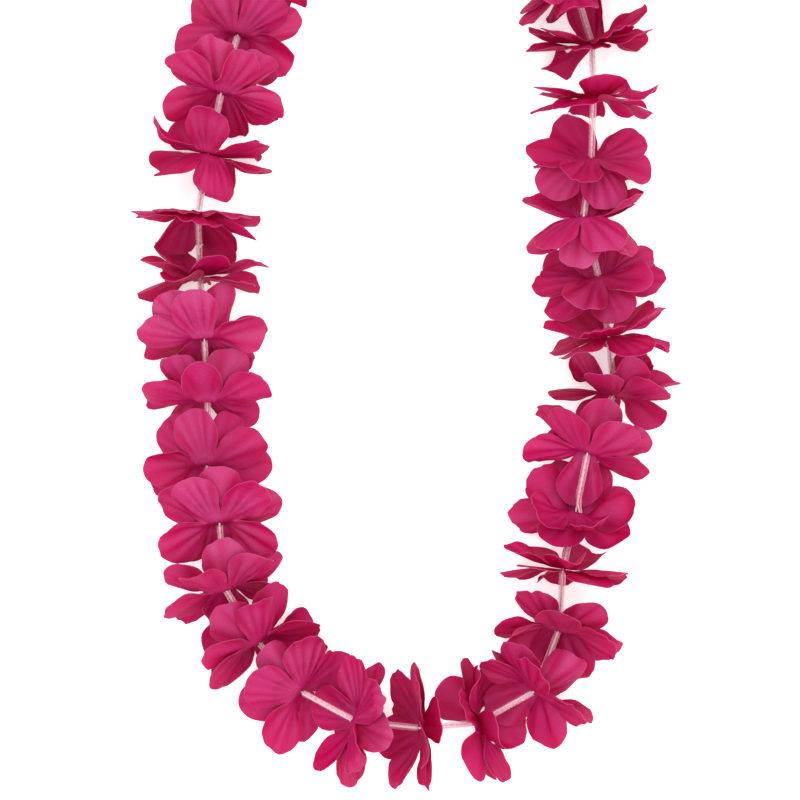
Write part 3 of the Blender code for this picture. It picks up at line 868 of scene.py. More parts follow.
class Cut:
    """The grid of a fabric petal, rows by columns, pressed and cut to a share of its width."""

    def __init__(self, petal, folds, calm, width):
        angles, lengths, turns = flat_lines()
        lengths = folds.edge(lengths, turns)
        inner = HUB_RADIUS
        steps = np.append(np.linspace(0.0, 1.0, ROWS - 1), 1.0)[:, None]
        radii = inner + (lengths - inner)[None, :] * steps
        radii[-2] = np.maximum(lengths - EDGE_BAND, radii[-3] + 0.05)
        share = (radii - inner) / (ROUND_CENTRE + ROUND_RADIUS - inner)
        joined = slit_shut()[:, None]
        whole = math.radians(PETAL_STEP / 2.0) / angles[-1]
        flat_angles = angles * (1.0 + (whole - 1.0) * joined)
        narrowed = flat_angles * (1.0 + (width - 1.0) * eased(*NARROWS, share))
        along = inner + (radii * np.cos(narrowed) - inner) * petal.reach
        narrow = 1.0 + (petal.reach - 1.0) * eased(*SHORTENS, share)
        across = radii * np.sin(narrowed) * narrow
        rows = [row[0] for row in PETAL_ROWS]
        knots = inner + (np.array([inner, *rows, PETAL_TIP]) - inner) * petal.reach
        self.weights, self.direction = line_weights(knots, along)
        self.spread = (across / (BOW_WIDTH * petal.reach)) ** 2
        pressed = folds.pressed(flat_angles, share, along, across, calm)
        self.across, height, self.valley = pressed
        self.height = height * eased(*FOLDS_RISE, share)

        # Near the hub the cloth leaves the hub's own plane
        centre = np.array(petal.centre + petal.offset())
        side, rise = (np.array(axis) for axis in petal.frame[1:])
        turns = petal.angle + narrowed
        self.plane = centre + (side * np.cos(turns)[..., None]
                               + rise * np.sin(turns)[..., None]) * radii[..., None]
        self.leave = eased(*LEAVES_HUB, share)[..., None]
        self.flat = np.stack([radii * np.cos(flat_angles + petal.angle),
                              radii * np.sin(flat_angles + petal.angle)], axis=-1)

    def bent(self, points, cloth):
        """The petal's middle surface, bent through its solid's points."""
        ring, first, second, tip = points[:3], points[3:6], points[6:9], points[9]
        middles = np.array([ring[1], first[1], second[1], tip])
        ways = unit(np.array([row[2] - row[0] for row in (ring, first, second, second)]))
        bows = np.array([(row[0] + row[2]) / 2.0 - row[1] for row in (first, second, second)])
        middle = self.weights @ middles
        tangent = unit(self.direction @ middles)
        side = self.weights @ ways
        side = unit(side - tangent * np.sum(side * tangent, axis=-1, keepdims=True))
        surface = middle + side * self.across[..., None]
        surface += (self.weights[..., 1:] @ bows) * self.spread[..., None]
        surface += np.cross(tangent, side) * self.height[..., None]
        surface = self.plane * (1.0 - self.leave) + surface * self.leave
        surface[..., 2] = rested(surface[..., 2], TABLE + cloth / 2.0 + FLOOR_GAP)
        return surface


def rested(heights, floor):
    """Heights eased onto the floor, each still above what was below it."""
    above = np.maximum(heights, floor + EASE_HEIGHT)
    below = np.minimum(heights - floor, EASE_HEIGHT)
    return above - EASE_HEIGHT + EASE_HEIGHT * np.exp(below / EASE_HEIGHT - 1.0)


def slit_shut():
    """For each row of a petal, how far the slits beside it are still whole cloth."""
    return eased(SLIT_ROW + SLIT_FADE, SLIT_ROW, np.arange(ROWS, dtype=float))


def join_roots(petals):
    """Bring neighbouring petals of a layer together as far out as the cloth isn't slit."""
    shut = slit_shut()[:, None, None]
    over = np.linspace(-1.0, 1.0, COLUMNS)
    after = shut * eased(0.0, 1.0, over)[None, :, None]
    before = shut * eased(0.0, 1.0, -over)[None, :, None]
    lines = []
    for place, petal in enumerate(petals):
        following = petals[(place + 1) % PETALS]
        lines.append((petal.surface[:, -1] + following.surface[:, 0]) / 2.0)
    shifts = []
    for place, petal in enumerate(petals):
        to_after = (lines[place] - petal.surface[:, -1])[:, None]
        to_before = (lines[place - 1] - petal.surface[:, 0])[:, None]
        shifts.append(after * to_after + before * to_before)
    for petal, shift in zip(petals, shifts):
        petal.surface = petal.surface + shift


def cells(index):
    """The four-sided faces of a grid of points, given by the points' numbers."""
    corners = [index[:-1, :-1], index[1:, :-1], index[1:, 1:], index[:-1, 1:]]
    return np.stack(corners, axis=-1).reshape(-1, 4)


def grid_normals(points):
    """A normal at each point of a grid."""
    down = np.gradient(points, axis=0)
    over = np.gradient(points, axis=1)
    return unit(np.cross(down, over))


def fine_tree(surface, half):
    """A search tree of a petal's free stretch, as one surface or as two, a little apart."""
    free = surface[FREE_ROWS:, ::2]
    count = free.shape[0] * free.shape[1]
    faces = cells(np.arange(count).reshape(free.shape[:2]))
    if not half:
        return BVHTree.FromPolygons(free.reshape(-1, 3).tolist(), faces.tolist())
    normals = grid_normals(free)
    both = np.concatenate([(free + normals * half).reshape(-1, 3),
                           (free - normals * half).reshape(-1, 3)])
    faces = np.concatenate([faces, faces + count])
    return BVHTree.FromPolygons(both.tolist(), faces.tolist())


@cache
def fine_tries():
    """Every change to a fabric petal, the smallest first."""
    listed = []
    for calm, width, lift, swing in product(CALM_TRIES, WIDTH_TRIES, FINE_LIFTS, FINE_SWINGS):
        cost = CALM_COST * (1.0 - calm) + WIDTH_COST * (1.0 - width)
        cost += abs(lift) * FINE_LIFT_COST + abs(swing) * FINE_SWING_COST
        listed.append((cost, calm, width, lift, swing))
    listed.sort()
    return [choice for cost, *choice in listed]


def place_fine_petal(petal, looks, obstacles):
    """The fabric petal in the first try that crosses nothing, else in the one that crosses least."""
    petal.folds = Folds(petal, looks)
    cloth = looks.thickness / MM
    base_lift, base_swing, petal.reach = petal.choice
    near = [tree for middle, tree in obstacles
            if (middle - petal.centre).length < NEAR]
    cuts = {}
    fewest = None
    for calm, width, lift, swing in fine_tries():
        if (calm, width) not in cuts:
            cuts[calm, width] = Cut(petal, petal.folds, calm, width)
        made = cuts[calm, width]
        points = petal.shape(base_lift + lift, base_swing + swing, petal.reach)
        surface = made.bent(points, cloth)
        tree = fine_tree(surface, 0.0)
        hits = sum(len(tree.overlap(other)) for other in near)
        if fewest is None or hits < fewest:
            fewest = hits
            petal.cut, petal.surface = made, surface
        if not hits:
            break
    obstacles.append((petal.centre, fine_tree(petal.surface, FINE_GAP)))


def place_fine_bloom(petals, looks, obstacles):
    """Place the fabric petals of both layers, which then stand in the way of the next."""
    for layer in range(2):
        own = [petal for petal in petals if petal.layer == layer]
        for petal in own:
            place_fine_petal(petal, looks, obstacles)
        join_roots(own)
        del obstacles[-PETALS:]
        obstacles.extend((petal.centre, fine_tree(petal.surface, FINE_GAP)) for petal in own)


def fabric_layer(petals, cloth):
    """One layer as a closed sheet: its points, faces, and what its material needs to know."""
    first = petals[0]
    ring_count = PETALS * (COLUMNS - 1)
    rings = HUB_ROWS + SLIT_ROW + 1
    centre = np.array(first.centre + first.offset())
    side, rise = (np.array(axis) for axis in first.frame[1:])

    # Whole rings: the hub's, from the hole out, and then the petals' rows up to the slits
    outer = np.concatenate([petal.surface[0, :-1] for petal in petals]) - centre
    turns = np.arctan2(outer @ rise, outer @ side)
    spokes = side * np.cos(turns)[:, None] + rise * np.sin(turns)[:, None]
    flat_spokes = unit(np.concatenate([petal.cut.flat[0, :-1] for petal in petals]))
    points, flats = [], []
    for row in range(HUB_ROWS):
        radius = FINE_HOLE + (HUB_RADIUS - FINE_HOLE) * row / HUB_ROWS
        points.append(centre + spokes * radius)
        flats.append(flat_spokes * radius)
    valleys = [np.zeros(HUB_ROWS * ring_count)]
    tones = [np.full(rings * ring_count, 0.5)]
    levels = [np.full(HUB_ROWS * ring_count, 0.5)]
    rims = [np.ones(ring_count), np.zeros((rings - 1) * ring_count)]
    for row in range(SLIT_ROW + 1):
        points.extend(petal.surface[row, :-1] for petal in petals)
        flats.extend(petal.cut.flat[row, :-1] for petal in petals)
        valleys.extend(petal.cut.valley[row, :-1] for petal in petals)
        # How level the cloth lies, for painted light on cloth that faces up
        levels.extend(np.abs(grid_normals(petal.surface)[row, :-1, 2]) for petal in petals)
    ring = np.arange(ring_count)
    faces = []
    for row in range(rings - 1):
        here = ring + row * ring_count
        after = np.roll(ring, -1) + row * ring_count
        faces.append(np.stack([here, here + ring_count, after + ring_count, after], axis=-1))

    # The petals past the slits' ends, whose first row is a stretch of the last ring
    count = rings * ring_count
    free = ROWS - 1 - SLIT_ROW
    for number, petal in enumerate(petals):
        root = (np.arange(COLUMNS) + number * (COLUMNS - 1)) % ring_count
        index = np.arange(free * COLUMNS).reshape(free, COLUMNS) + count
        index = np.vstack([root + (rings - 1) * ring_count, index])
        count += free * COLUMNS
        points.append(petal.surface[SLIT_ROW + 1:].reshape(-1, 3))
        flats.append(petal.cut.flat[SLIT_ROW + 1:].reshape(-1, 2))
        valleys.append(petal.cut.valley[SLIT_ROW + 1:].reshape(-1))
        tones.append(np.full(free * COLUMNS, petal.folds.tone))
        # How level each point lies, for the painted light
        level = np.abs(grid_normals(petal.surface)[SLIT_ROW + 1:, :, 2])
        levels.append(level.reshape(-1))
        rim = np.zeros((free, COLUMNS))
        rim[-1] = 1.0
        rim[:, [0, -1]] = 1.0
        rims.append(rim.reshape(-1))
        faces.append(cells(index))
    known = {
        "flat": np.concatenate(flats),
        "valley": np.concatenate(valleys),
        "tone": np.concatenate(tones),
        "level": np.concatenate(levels),
        "rim": np.concatenate(rims),
    }
    return closed_sheet(np.concatenate(points), np.concatenate(faces), cloth / 2.0), known


def closed_sheet(points, faces, half):
    """Both faces of a sheet and its cut edge, round its middle surface."""
    corners = points[faces]
    face_normals = np.cross(corners[:, 2] - corners[:, 0], corners[:, 3] - corners[:, 1])
    normals = np.zeros_like(points)
    for corner in range(4):
        np.add.at(normals, faces[:, corner], face_normals)
    normals = unit(normals)
    upper = points + normals * half
    lower = points - normals * half
    lower[:, 2] = np.maximum(lower[:, 2], TABLE)
    upper[:, 2] = np.maximum(upper[:, 2], TABLE)
    count = len(points)
    edges = np.concatenate([faces[:, [corner, (corner + 1) % 4]] for corner in range(4)])
    keys = edges[:, 0] * count + edges[:, 1]
    mates = edges[:, 1] * count + edges[:, 0]
    open_edges = edges[~np.isin(keys, mates)]
    walls = np.stack([open_edges[:, 1], open_edges[:, 0],
                      open_edges[:, 0] + count, open_edges[:, 1] + count], axis=-1)
    solid = np.concatenate([faces, faces[:, ::-1] + count, walls])
    return np.concatenate([upper, lower]), solid


# Shader maths

class Shade:
    """A value in a material's tree: arithmetic on it adds Math nodes."""

    def __init__(self, graph, socket):
        self.graph = graph
        self.socket = socket

    def math(self, operation, *values, clamp=False):
        """A Math node in the same tree."""
        return self.graph.math(operation, *values, clamp=clamp)

    def __add__(self, other):
        return self.math("ADD", self, other)

    def __radd__(self, other):
        return self.math("ADD", other, self)

    def __sub__(self, other):
        return self.math("SUBTRACT", self, other)

    def __rsub__(self, other):
        return self.math("SUBTRACT", other, self)

    def __mul__(self, other):
        return self.math("MULTIPLY", self, other)

    def __rmul__(self, other):
        return self.math("MULTIPLY", other, self)

    def __pow__(self, other):
        return self.math("POWER", self, other)

    def clamped(self):
        """The value, kept from 0 to 1."""
        return self.math("ADD", self, 0.0, clamp=True)

    def sine(self):
        return self.math("SINE", self)


class Graph:
    """A node tree, filled by one method."""

    def __init__(self, tree):
        self.tree = tree

    def node(self, kind, settings=None, values=None, output=0):
        """A node of that type, its settings, and the values or links of its sockets."""
        made = self.tree.nodes.new(kind)
        for name, value in (settings or {}).items():
            setattr(made, name, value)
        for key, value in (values or {}).items():
            if isinstance(value, Shade):
                self.tree.links.new(value.socket, made.inputs[key])
            else:
                made.inputs[key].default_value = value
        return Shade(self, made.outputs[output] if made.outputs else None)

    def math(self, operation, *values, clamp=False):
        """A Math node on numbers or values."""
        settings = {"operation": operation, "use_clamp": clamp}
        return self.node("ShaderNodeMath", settings, dict(enumerate(values)))

    def vector(self, operation, *values, output=0):
        """A Vector Math node on vectors or colours."""
        settings = {"operation": operation}
        return self.node("ShaderNodeVectorMath", settings, dict(enumerate(values)), output)

    def scaled(self, vector, factor):
        """A vector at a multiple of its length."""
        return self.node("ShaderNodeVectorMath", {"operation": "SCALE"},
                         {"Vector": vector, "Scale": factor})


class Paint(Graph):
    """A material's node tree."""

    def __init__(self, name):
        self.material = bpy.data.materials.new(name)
        self.material.use_nodes = True
        super().__init__(self.material.node_tree)
        self.tree.nodes.clear()

    def mix(self, factor, first, second):
        """Two colours mixed."""
        settings = {"data_type": "RGBA", "blend_type": "MIX"}
        return self.node("ShaderNodeMix", settings, {0: factor, 6: first, 7: second}, 2)

    def attribute(self, name):
        """A number that the piece's mesh keeps for each point."""
        return self.node("ShaderNodeAttribute", {"attribute_name": name}, output=2)

    def bump(self, height, strength, distance, under=None):
        """A bumped normal, on top of another one."""
        values = {"Height": height, "Strength": strength, "Distance": distance}
        if under:
            values["Normal"] = under
        return self.node("ShaderNodeBump", None, values)

    def surface(self, **values):
        """The material's own shader, linked to its output."""
        named = {name.replace("_", " ").title(): value for name, value in values.items()}
        named = {name.replace("Ior", "IOR"): value for name, value in named.items()}
        shader = self.node("ShaderNodeBsdfPrincipled", None, named)
        self.node("ShaderNodeOutputMaterial", None, {"Surface": shader})
        return self.material


# The cloth: its deepest colour, painted shade in its creases, and how soft patches and each petal's
# own tone darken it
DEEP_SHARES = (0.9, 0.1, 0.5)
CREASE_SHADE = 0.6
SOFT_SHADE = 0.4
SHADE_FROM = 0.12
TONE_SHADE = 0.25

# What makes it paler: slubs, flecks, tone, painted light by how level and how high it lies,
# painted shade that keeps that light out of creases, and its melted edge, partly a painted highlight
SLUB_FROM = 0.42
SLUB_LIFT = 0.5
FLECK_FROM = 0.5
FLECK_LIFT = 0.9
TONE_LIFT = 0.2
LEVEL_PAINTED_LIGHT = 0.7
LIFT_FROM = 0.1
HIGHEST = 0.05
HEIGHT_PAINTED_LIGHT = 0.9
LOW_PAINTED_LIGHT = 0.35
CREASE_HIDES_LIGHT = 0.8
RIM_LIFT = 0.8

# Its pleats, how dull it is, and how high threads, slubs and flecks stand
PLEAT_DRIFT = 3.0
PLEAT_SEEDS = 40.0
PLEAT_RISE = 5.0
PLEAT_START = 0.4
DULLNESS = 0.44
SOFT_DULLNESS = 0.2
RIM_GLOSS = 0.12
THREAD_HEIGHT = 0.5
SLUB_HEIGHT = 0.8
FLECK_HEIGHT = 1.5

# The plastic: where a painted highlight streak starts, how sharp its sides are, and how milky the
# crushed end is
STREAK_FROM = 0.54
STREAK_SHARPNESS = 12.0
CRUSHED_HAZE = 1.5

# The share of the colour in the darkest fibres of the thread, and in the floor's grain
THREAD_SHADE = 0.8
FLOOR_SHADE = 0.985


def fabric_material(looks):
    """Satin polyester cloth: a fine weave, painted shade in creases, painted light where it lies
    level and high, and a pale melted edge, partly a painted highlight.
    """
    graph = Paint("magenta satin")
    weave = graph.node("ShaderNodeUVMap", {"uv_map": "cloth"})
    over = graph.node("ShaderNodeSeparateXYZ", None, {0: weave}, "X")
    down = graph.node("ShaderNodeSeparateXYZ", None, {0: weave}, "Y")
    turns = 2.0 * math.pi * CLOTH_SIZE * MM / looks.thread_pitch
    threads = (over * turns).sine() * (down * turns).sine()
    place = graph.node("ShaderNodeTexCoord", output=3)
    soft = graph.node("ShaderNodeTexNoise", None, {"Vector": place, "Scale": 55.0, "Detail": 3.0})
    slub = graph.node("ShaderNodeTexNoise", None, {"Vector": weave, "Scale": 260.0, "Detail": 1.0})
    valley = graph.attribute("valley")
    rim = graph.attribute("rim")
    tone = graph.attribute("tone")
    level = graph.attribute("level")
    # Height over the floor: higher cloth gets more painted light
    high = graph.node("ShaderNodeSeparateXYZ", None, {0: place}, "Z") * (1.0 / HIGHEST)
    deep = tuple(channel * share for channel, share in zip(looks.colour, DEEP_SHARES))
    spoke = graph.vector("SUBTRACT", weave, (0.5, 0.5, 0.0))
    reach = graph.vector("LENGTH", spoke, output="Value")
    spoke = graph.scaled(graph.vector("NORMALIZE", spoke), PLEATS)
    spoke = graph.vector("ADD", spoke, graph.node("ShaderNodeCombineXYZ", None, {
        "Z": reach * PLEAT_DRIFT + tone * PLEAT_SEEDS}))
    pleats = graph.node("ShaderNodeTexNoise", None, {"Vector": spoke, "Scale": 1.0, "Detail": 1.5})
    pleats = pleats * (reach * PLEAT_RISE - PLEAT_START).clamped()
    # Painted shade in the crease valleys, with soft patches and each petal's tone darkening it at
    # random
    shade = valley * CREASE_SHADE + soft * SOFT_SHADE - SHADE_FROM
    shade = (shade + (tone - 0.5) * TONE_SHADE).clamped()
    body = graph.mix(shade, (*looks.colour, 1.0), (*deep, 1.0))
    fleck = graph.node("ShaderNodeTexNoise", None, {"Vector": weave, "Scale": 46.0, "Detail": 4.0})
    # Painted light: paler where the cloth lies level and high, kept out of creases as painted shade,
    # on top of random slubs, flecks and tone
    lift = (slub - SLUB_FROM).clamped() * SLUB_LIFT + (fleck - FLECK_FROM).clamped() * FLECK_LIFT
    lift = lift + (tone - 0.5) * TONE_LIFT + level * level * LEVEL_PAINTED_LIGHT - LIFT_FROM
    lift = lift.clamped() * (high.clamped() * HEIGHT_PAINTED_LIGHT + LOW_PAINTED_LIGHT) * (1.0 - valley * CREASE_HIDES_LIGHT)
    pale = graph.mix(lift, body, (*looks.edge_and_sheen_colour, 1.0))
    # The melted cut edge is paler, partly as a painted edge highlight
    colour = graph.mix((rim ** 2.0) * RIM_LIFT, pale, (*looks.edge_and_sheen_colour, 1.0))
    rough = DULLNESS + soft * SOFT_DULLNESS - rim * RIM_GLOSS
    height = threads * THREAD_HEIGHT + slub * SLUB_HEIGHT + fleck * FLECK_HEIGHT
    normal = graph.bump(pleats, strength=0.5, distance=0.0009)
    normal = graph.bump(height, strength=0.25, distance=0.00008, under=normal)
    face = graph.node("ShaderNodeBsdfPrincipled", None, {
        "Base Color": colour, "Roughness": rough, "Normal": normal,
        "Specular IOR Level": 0.3, "Specular Tint": (1.0, 0.6, 0.9, 1.0),
    })
    through = graph.node("ShaderNodeBsdfTranslucent", None, {"Color": (*looks.colour, 1.0)})
    mixed = graph.node("ShaderNodeMixShader", None, {0: looks.see_through, 1: face, 2: through})
    graph.node("ShaderNodeOutputMaterial", None, {"Surface": mixed})
    return graph.material


def plastic_material(looks):
    """Clear extruded plastic: a faint pink tint, a painted reflection of the petals, and pale
    streaks along the tube, painted highlights.
    """
    graph = Paint("clear plastic")
    line = graph.attribute("round")
    # Painted highlights: pale streaks at fixed places round the tube, running along it
    streak = graph.node("ShaderNodeTexNoise", {"noise_dimensions": "1D"},
                        {"W": line, "Scale": 7.0, "Detail": 3.0, "Roughness": 0.7})
    lines = (streak - STREAK_FROM) * STREAK_SHARPNESS
    lines = (lines + graph.attribute("crushed") * CRUSHED_HAZE).clamped()
    colour = graph.mix(lines, (*looks.petal_reflection_tint, 1.0), (*looks.highlight_streak_colour, 1.0))
    alpha = looks.haze + lines * (looks.streaks - looks.haze)
    return graph.surface(base_color=colour, roughness=0.1 + streak * 0.15, alpha=alpha,
                         specular_ior_level=0.6)


def thread_material(looks):
    """Pale twisted thread."""
    graph = Paint("pale thread")
    place = graph.node("ShaderNodeTexCoord", output=3)
    fibre = graph.node("ShaderNodeTexNoise", None, {"Vector": place, "Scale": 900.0, "Detail": 2.0})
    darker = tuple(channel * THREAD_SHADE for channel in looks.colour)
    colour = graph.mix(fibre, (*darker, 1.0), (*looks.colour, 1.0))
    normal = graph.bump(fibre, strength=0.4, distance=0.0001)
    return graph.surface(base_color=colour, roughness=0.6 + fibre * 0.2, normal=normal,
                         sheen_weight=0.2)


def floor_material(looks):
    """Smooth pale board."""
    graph = Paint("pale floor")
    place = graph.node("ShaderNodeTexCoord", output=3)
    grain = graph.node("ShaderNodeTexNoise", None, {"Vector": place, "Scale": 90.0, "Detail": 3.0})
    darker = tuple(channel * FLOOR_SHADE for channel in looks.floor_colour)
    colour = graph.mix(grain, (*looks.floor_colour, 1.0), (*darker, 1.0))
    return graph.surface(base_color=colour, roughness=0.7, emission_color=(1.0, 1.0, 1.0, 1.0),
                         emission_strength=looks.floor_glow)


# Geometry Nodes

class Recipe(Graph):
    """A Geometry Nodes tree with named inputs, which ends in realized shapes with a material."""

    def __init__(self, name, inputs):
        super().__init__(bpy.data.node_groups.new(name, "GeometryNodeTree"))
        sockets = self.tree.interface
        sockets.new_socket("Geometry", in_out="OUTPUT", socket_type="NodeSocketGeometry")
        sockets.new_socket("Route", in_out="INPUT", socket_type="NodeSocketGeometry")
        for label, kind in inputs.items():
            sockets.new_socket(label, in_out="INPUT", socket_type=kind)
        self.entry = self.tree.nodes.new("NodeGroupInput")

    def given(self, label):
        """The value of a named input."""
        return Shade(self, self.entry.outputs[label])

    def along(self, vector, axis):
        """The part of a vector along one of the axes X, Y and Z."""
        return self.node("ShaderNodeSeparateXYZ", None, {0: vector}, axis)

    def finished(self, shape, material):
        """Close the tree on this shape."""
        shape = self.node("GeometryNodeRealizeInstances", None, {0: shape})
        shape = self.node("GeometryNodeSetMaterial", None, {"Geometry": shape})
        shape.socket.node.inputs["Material"].default_value = material
        self.node("NodeGroupOutput", None, {0: shape})
        return self

    def grown(self, name, routes, values):
        """A plain object at the origin, made on routes of points in millimetres."""
        points, edges = [], []
        for route, closed in routes:
            start = len(points)
            points.extend(metres(route))
            edges.extend((start + step, start + step + 1) for step in range(len(route) - 1))
            if closed:
                edges.append((len(points) - 1, start))
        mesh = bpy.data.meshes.new(name)
        mesh.from_pydata(points, edges, [])
        item = bpy.data.objects.new(name, mesh)
        bpy.context.scene.collection.objects.link(item)
        made = item.modifiers.new("recipe", "NODES")
        made.node_group = self.tree
        for socket in self.tree.interface.items_tree:
            if socket.name in values:
                made[socket.identifier] = values[socket.name]
        graph = bpy.context.evaluated_depsgraph_get()
        plain = bpy.data.meshes.new_from_object(item.evaluated_get(graph))
        item.modifiers.remove(made)
        item.data = plain
        plain.name = name
        return item


def tube_recipe(material):
    """A hollow tube from one point to another, whose first end may be crushed and bent."""
    recipe = Recipe("clear tube", {
        "Start": "NodeSocketVector", "End": "NodeSocketVector", "Radius": "NodeSocketFloat",
        "Wall": "NodeSocketFloat", "Crush": "NodeSocketFloat", "Bend": "NodeSocketVector",
    })
    start, end = recipe.given("Start"), recipe.given("End")
    way = recipe.vector("SUBTRACT", end, start)
    length = recipe.vector("LENGTH", way, output="Value")
    ring = recipe.node("GeometryNodeCurvePrimitiveCircle", {"mode": "RADIUS"},
                       {"Resolution": TUBE_FACETS,
                        "Radius": recipe.given("Radius") - recipe.given("Wall") * 0.5})
    section = recipe.node("GeometryNodeCurvePrimitiveQuadrilateral", {"mode": "RECTANGLE"},
                          {"Width": recipe.given("Wall"), "Height": length})
    section = recipe.node("GeometryNodeSubdivideCurve", None, {"Curve": section, "Cuts": TUBE_CUTS})
    tube = recipe.node("GeometryNodeCurveToMesh", None, {"Curve": ring, "Profile Curve": section})
    place = recipe.node("GeometryNodeInputPosition")
    x, y, z = (recipe.along(place, axis) for axis in "XYZ")
    turn = recipe.math("ARCTAN2", y, x)
    tube = recipe.node("GeometryNodeStoreNamedAttribute", {"data_type": "FLOAT", "domain": "POINT"},
                       {"Geometry": tube, "Name": "round",
                        "Value": recipe.math("ABSOLUTE", turn) * (1.0 / math.pi)})
    near = (recipe.math("MULTIPLY", z + length * 0.5, -1.0 / (CRUSHED * MM)) + 1.0).clamped()
    crush = near * recipe.given("Crush")
    tube = recipe.node("GeometryNodeStoreNamedAttribute", {"data_type": "FLOAT", "domain": "POINT"},
                       {"Geometry": tube, "Name": "crushed", "Value": crush})
    flat = recipe.node("ShaderNodeCombineXYZ", None, {
        "X": x * (1.0 - crush * CRUSH_ACROSS), "Y": y * (1.0 - crush), "Z": z})
    tube = recipe.node("GeometryNodeSetPosition", None, {"Geometry": tube, "Position": flat})
    turned = recipe.node("FunctionNodeAlignRotationToVector", {"axis": "Z"}, {"Vector": way})
    middle = recipe.scaled(recipe.vector("ADD", start, end), 0.5)
    tube = recipe.node("GeometryNodeTransform", None, {
        "Geometry": tube, "Translation": middle, "Rotation": turned})
    crushed = recipe.node("GeometryNodeInputNamedAttribute", {"data_type": "FLOAT"},
                          {"Name": "crushed"})
    moved = recipe.scaled(recipe.given("Bend"), crushed * crushed)
    tube = recipe.node("GeometryNodeSetPosition", None, {"Geometry": tube, "Offset": moved})
    tube = recipe.node("GeometryNodeSetShadeSmooth", None, {"Geometry": tube})
    edge = recipe.node("GeometryNodeInputMeshEdgeAngle")
    sharp = recipe.node("FunctionNodeCompare", {"data_type": "FLOAT", "operation": "GREATER_THAN"},
                        {0: edge, 1: SHARP_EDGE})
    tube = recipe.node("GeometryNodeSetShadeSmooth", {"domain": "EDGE"}, {
        "Geometry": tube, "Selection": sharp, "Shade Smooth": False})
    return recipe.finished(tube, material)


def cord_recipe(material):
    """Two plies twisted round each route."""
    recipe = Recipe("twisted cord", {"Ply radius": "NodeSocketFloat", "Twist": "NodeSocketFloat"})
    ply, twist = recipe.given("Ply radius"), recipe.given("Twist")
    route = recipe.node("GeometryNodeMeshToCurve", None, {"Mesh": recipe.given("Route")})
    route = recipe.node("GeometryNodeSetCurveNormal", {"mode": "Z_UP"}, {"Curve": route})
    route = recipe.node("GeometryNodeResampleCurve", {"mode": "LENGTH"},
                        {"Curve": route, "Length": CORD_STEP * MM})
    share = recipe.node("GeometryNodeSplineParameter", output="Factor")
    whole = recipe.node("GeometryNodeSplineLength", output="Length")
    turns = recipe.math("ROUND", recipe.math("DIVIDE", whole, twist)) * (2.0 * math.pi)
    normal = recipe.node("GeometryNodeInputNormal")
    tangent = recipe.node("GeometryNodeInputTangent")
    across = recipe.vector("CROSS_PRODUCT", tangent, normal)
    joined = recipe.tree.nodes.new("GeometryNodeJoinGeometry")
    round_section = recipe.node("GeometryNodeCurvePrimitiveCircle", {"mode": "RADIUS"},
                                {"Resolution": PLY_SIDES, "Radius": ply})
    for start in (0.0, math.pi):
        angle = share * turns + start
        offset = recipe.vector("ADD", recipe.scaled(normal, recipe.math("COSINE", angle) * ply),
                               recipe.scaled(across, recipe.math("SINE", angle) * ply))
        strand = recipe.node("GeometryNodeSetPosition", None, {"Geometry": route, "Offset": offset})
        strand = recipe.node("GeometryNodeCurveToMesh", None, {
            "Curve": strand, "Profile Curve": round_section, "Fill Caps": True})
        recipe.tree.links.new(strand.socket, joined.inputs[0])
    smooth = recipe.node("GeometryNodeSetShadeSmooth", None,
                         {"Geometry": Shade(recipe, joined.outputs[0])})
    return recipe.finished(smooth, material)


# Objects

def metres(points):
    """Points given in millimetres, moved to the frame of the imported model."""
    shift = np.array((FOOTPRINT_X, FOOTPRINT_Y, 0.0))
    return ((np.asarray(points) - shift) * MM).tolist()


def new_mesh_object(name, points, faces, material):
    """An object at the origin, with its points, given in millimetres, moved to the frame."""
    mesh = bpy.data.meshes.new(name)
    mesh.from_pydata(metres(points), [], np.asarray(faces).tolist())
    mesh.materials.append(material)
    mesh.shade_smooth()
    item = bpy.data.objects.new(name, mesh)
    bpy.context.scene.collection.objects.link(item)
    return item


def store_attribute(mesh, name, values):
    """A number for each point, which the material reads."""
    layer = mesh.attributes.new(name, "FLOAT", "POINT")
    layer.data.foreach_set("value", np.asarray(values, np.float32))


def keep(piece, slot, *nodes):
    """The piece rides on the lei and stands for these nodes."""
    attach(piece, "root")
    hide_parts(*nodes)


Lei = namedtuple("Lei", "centres nodes petals")


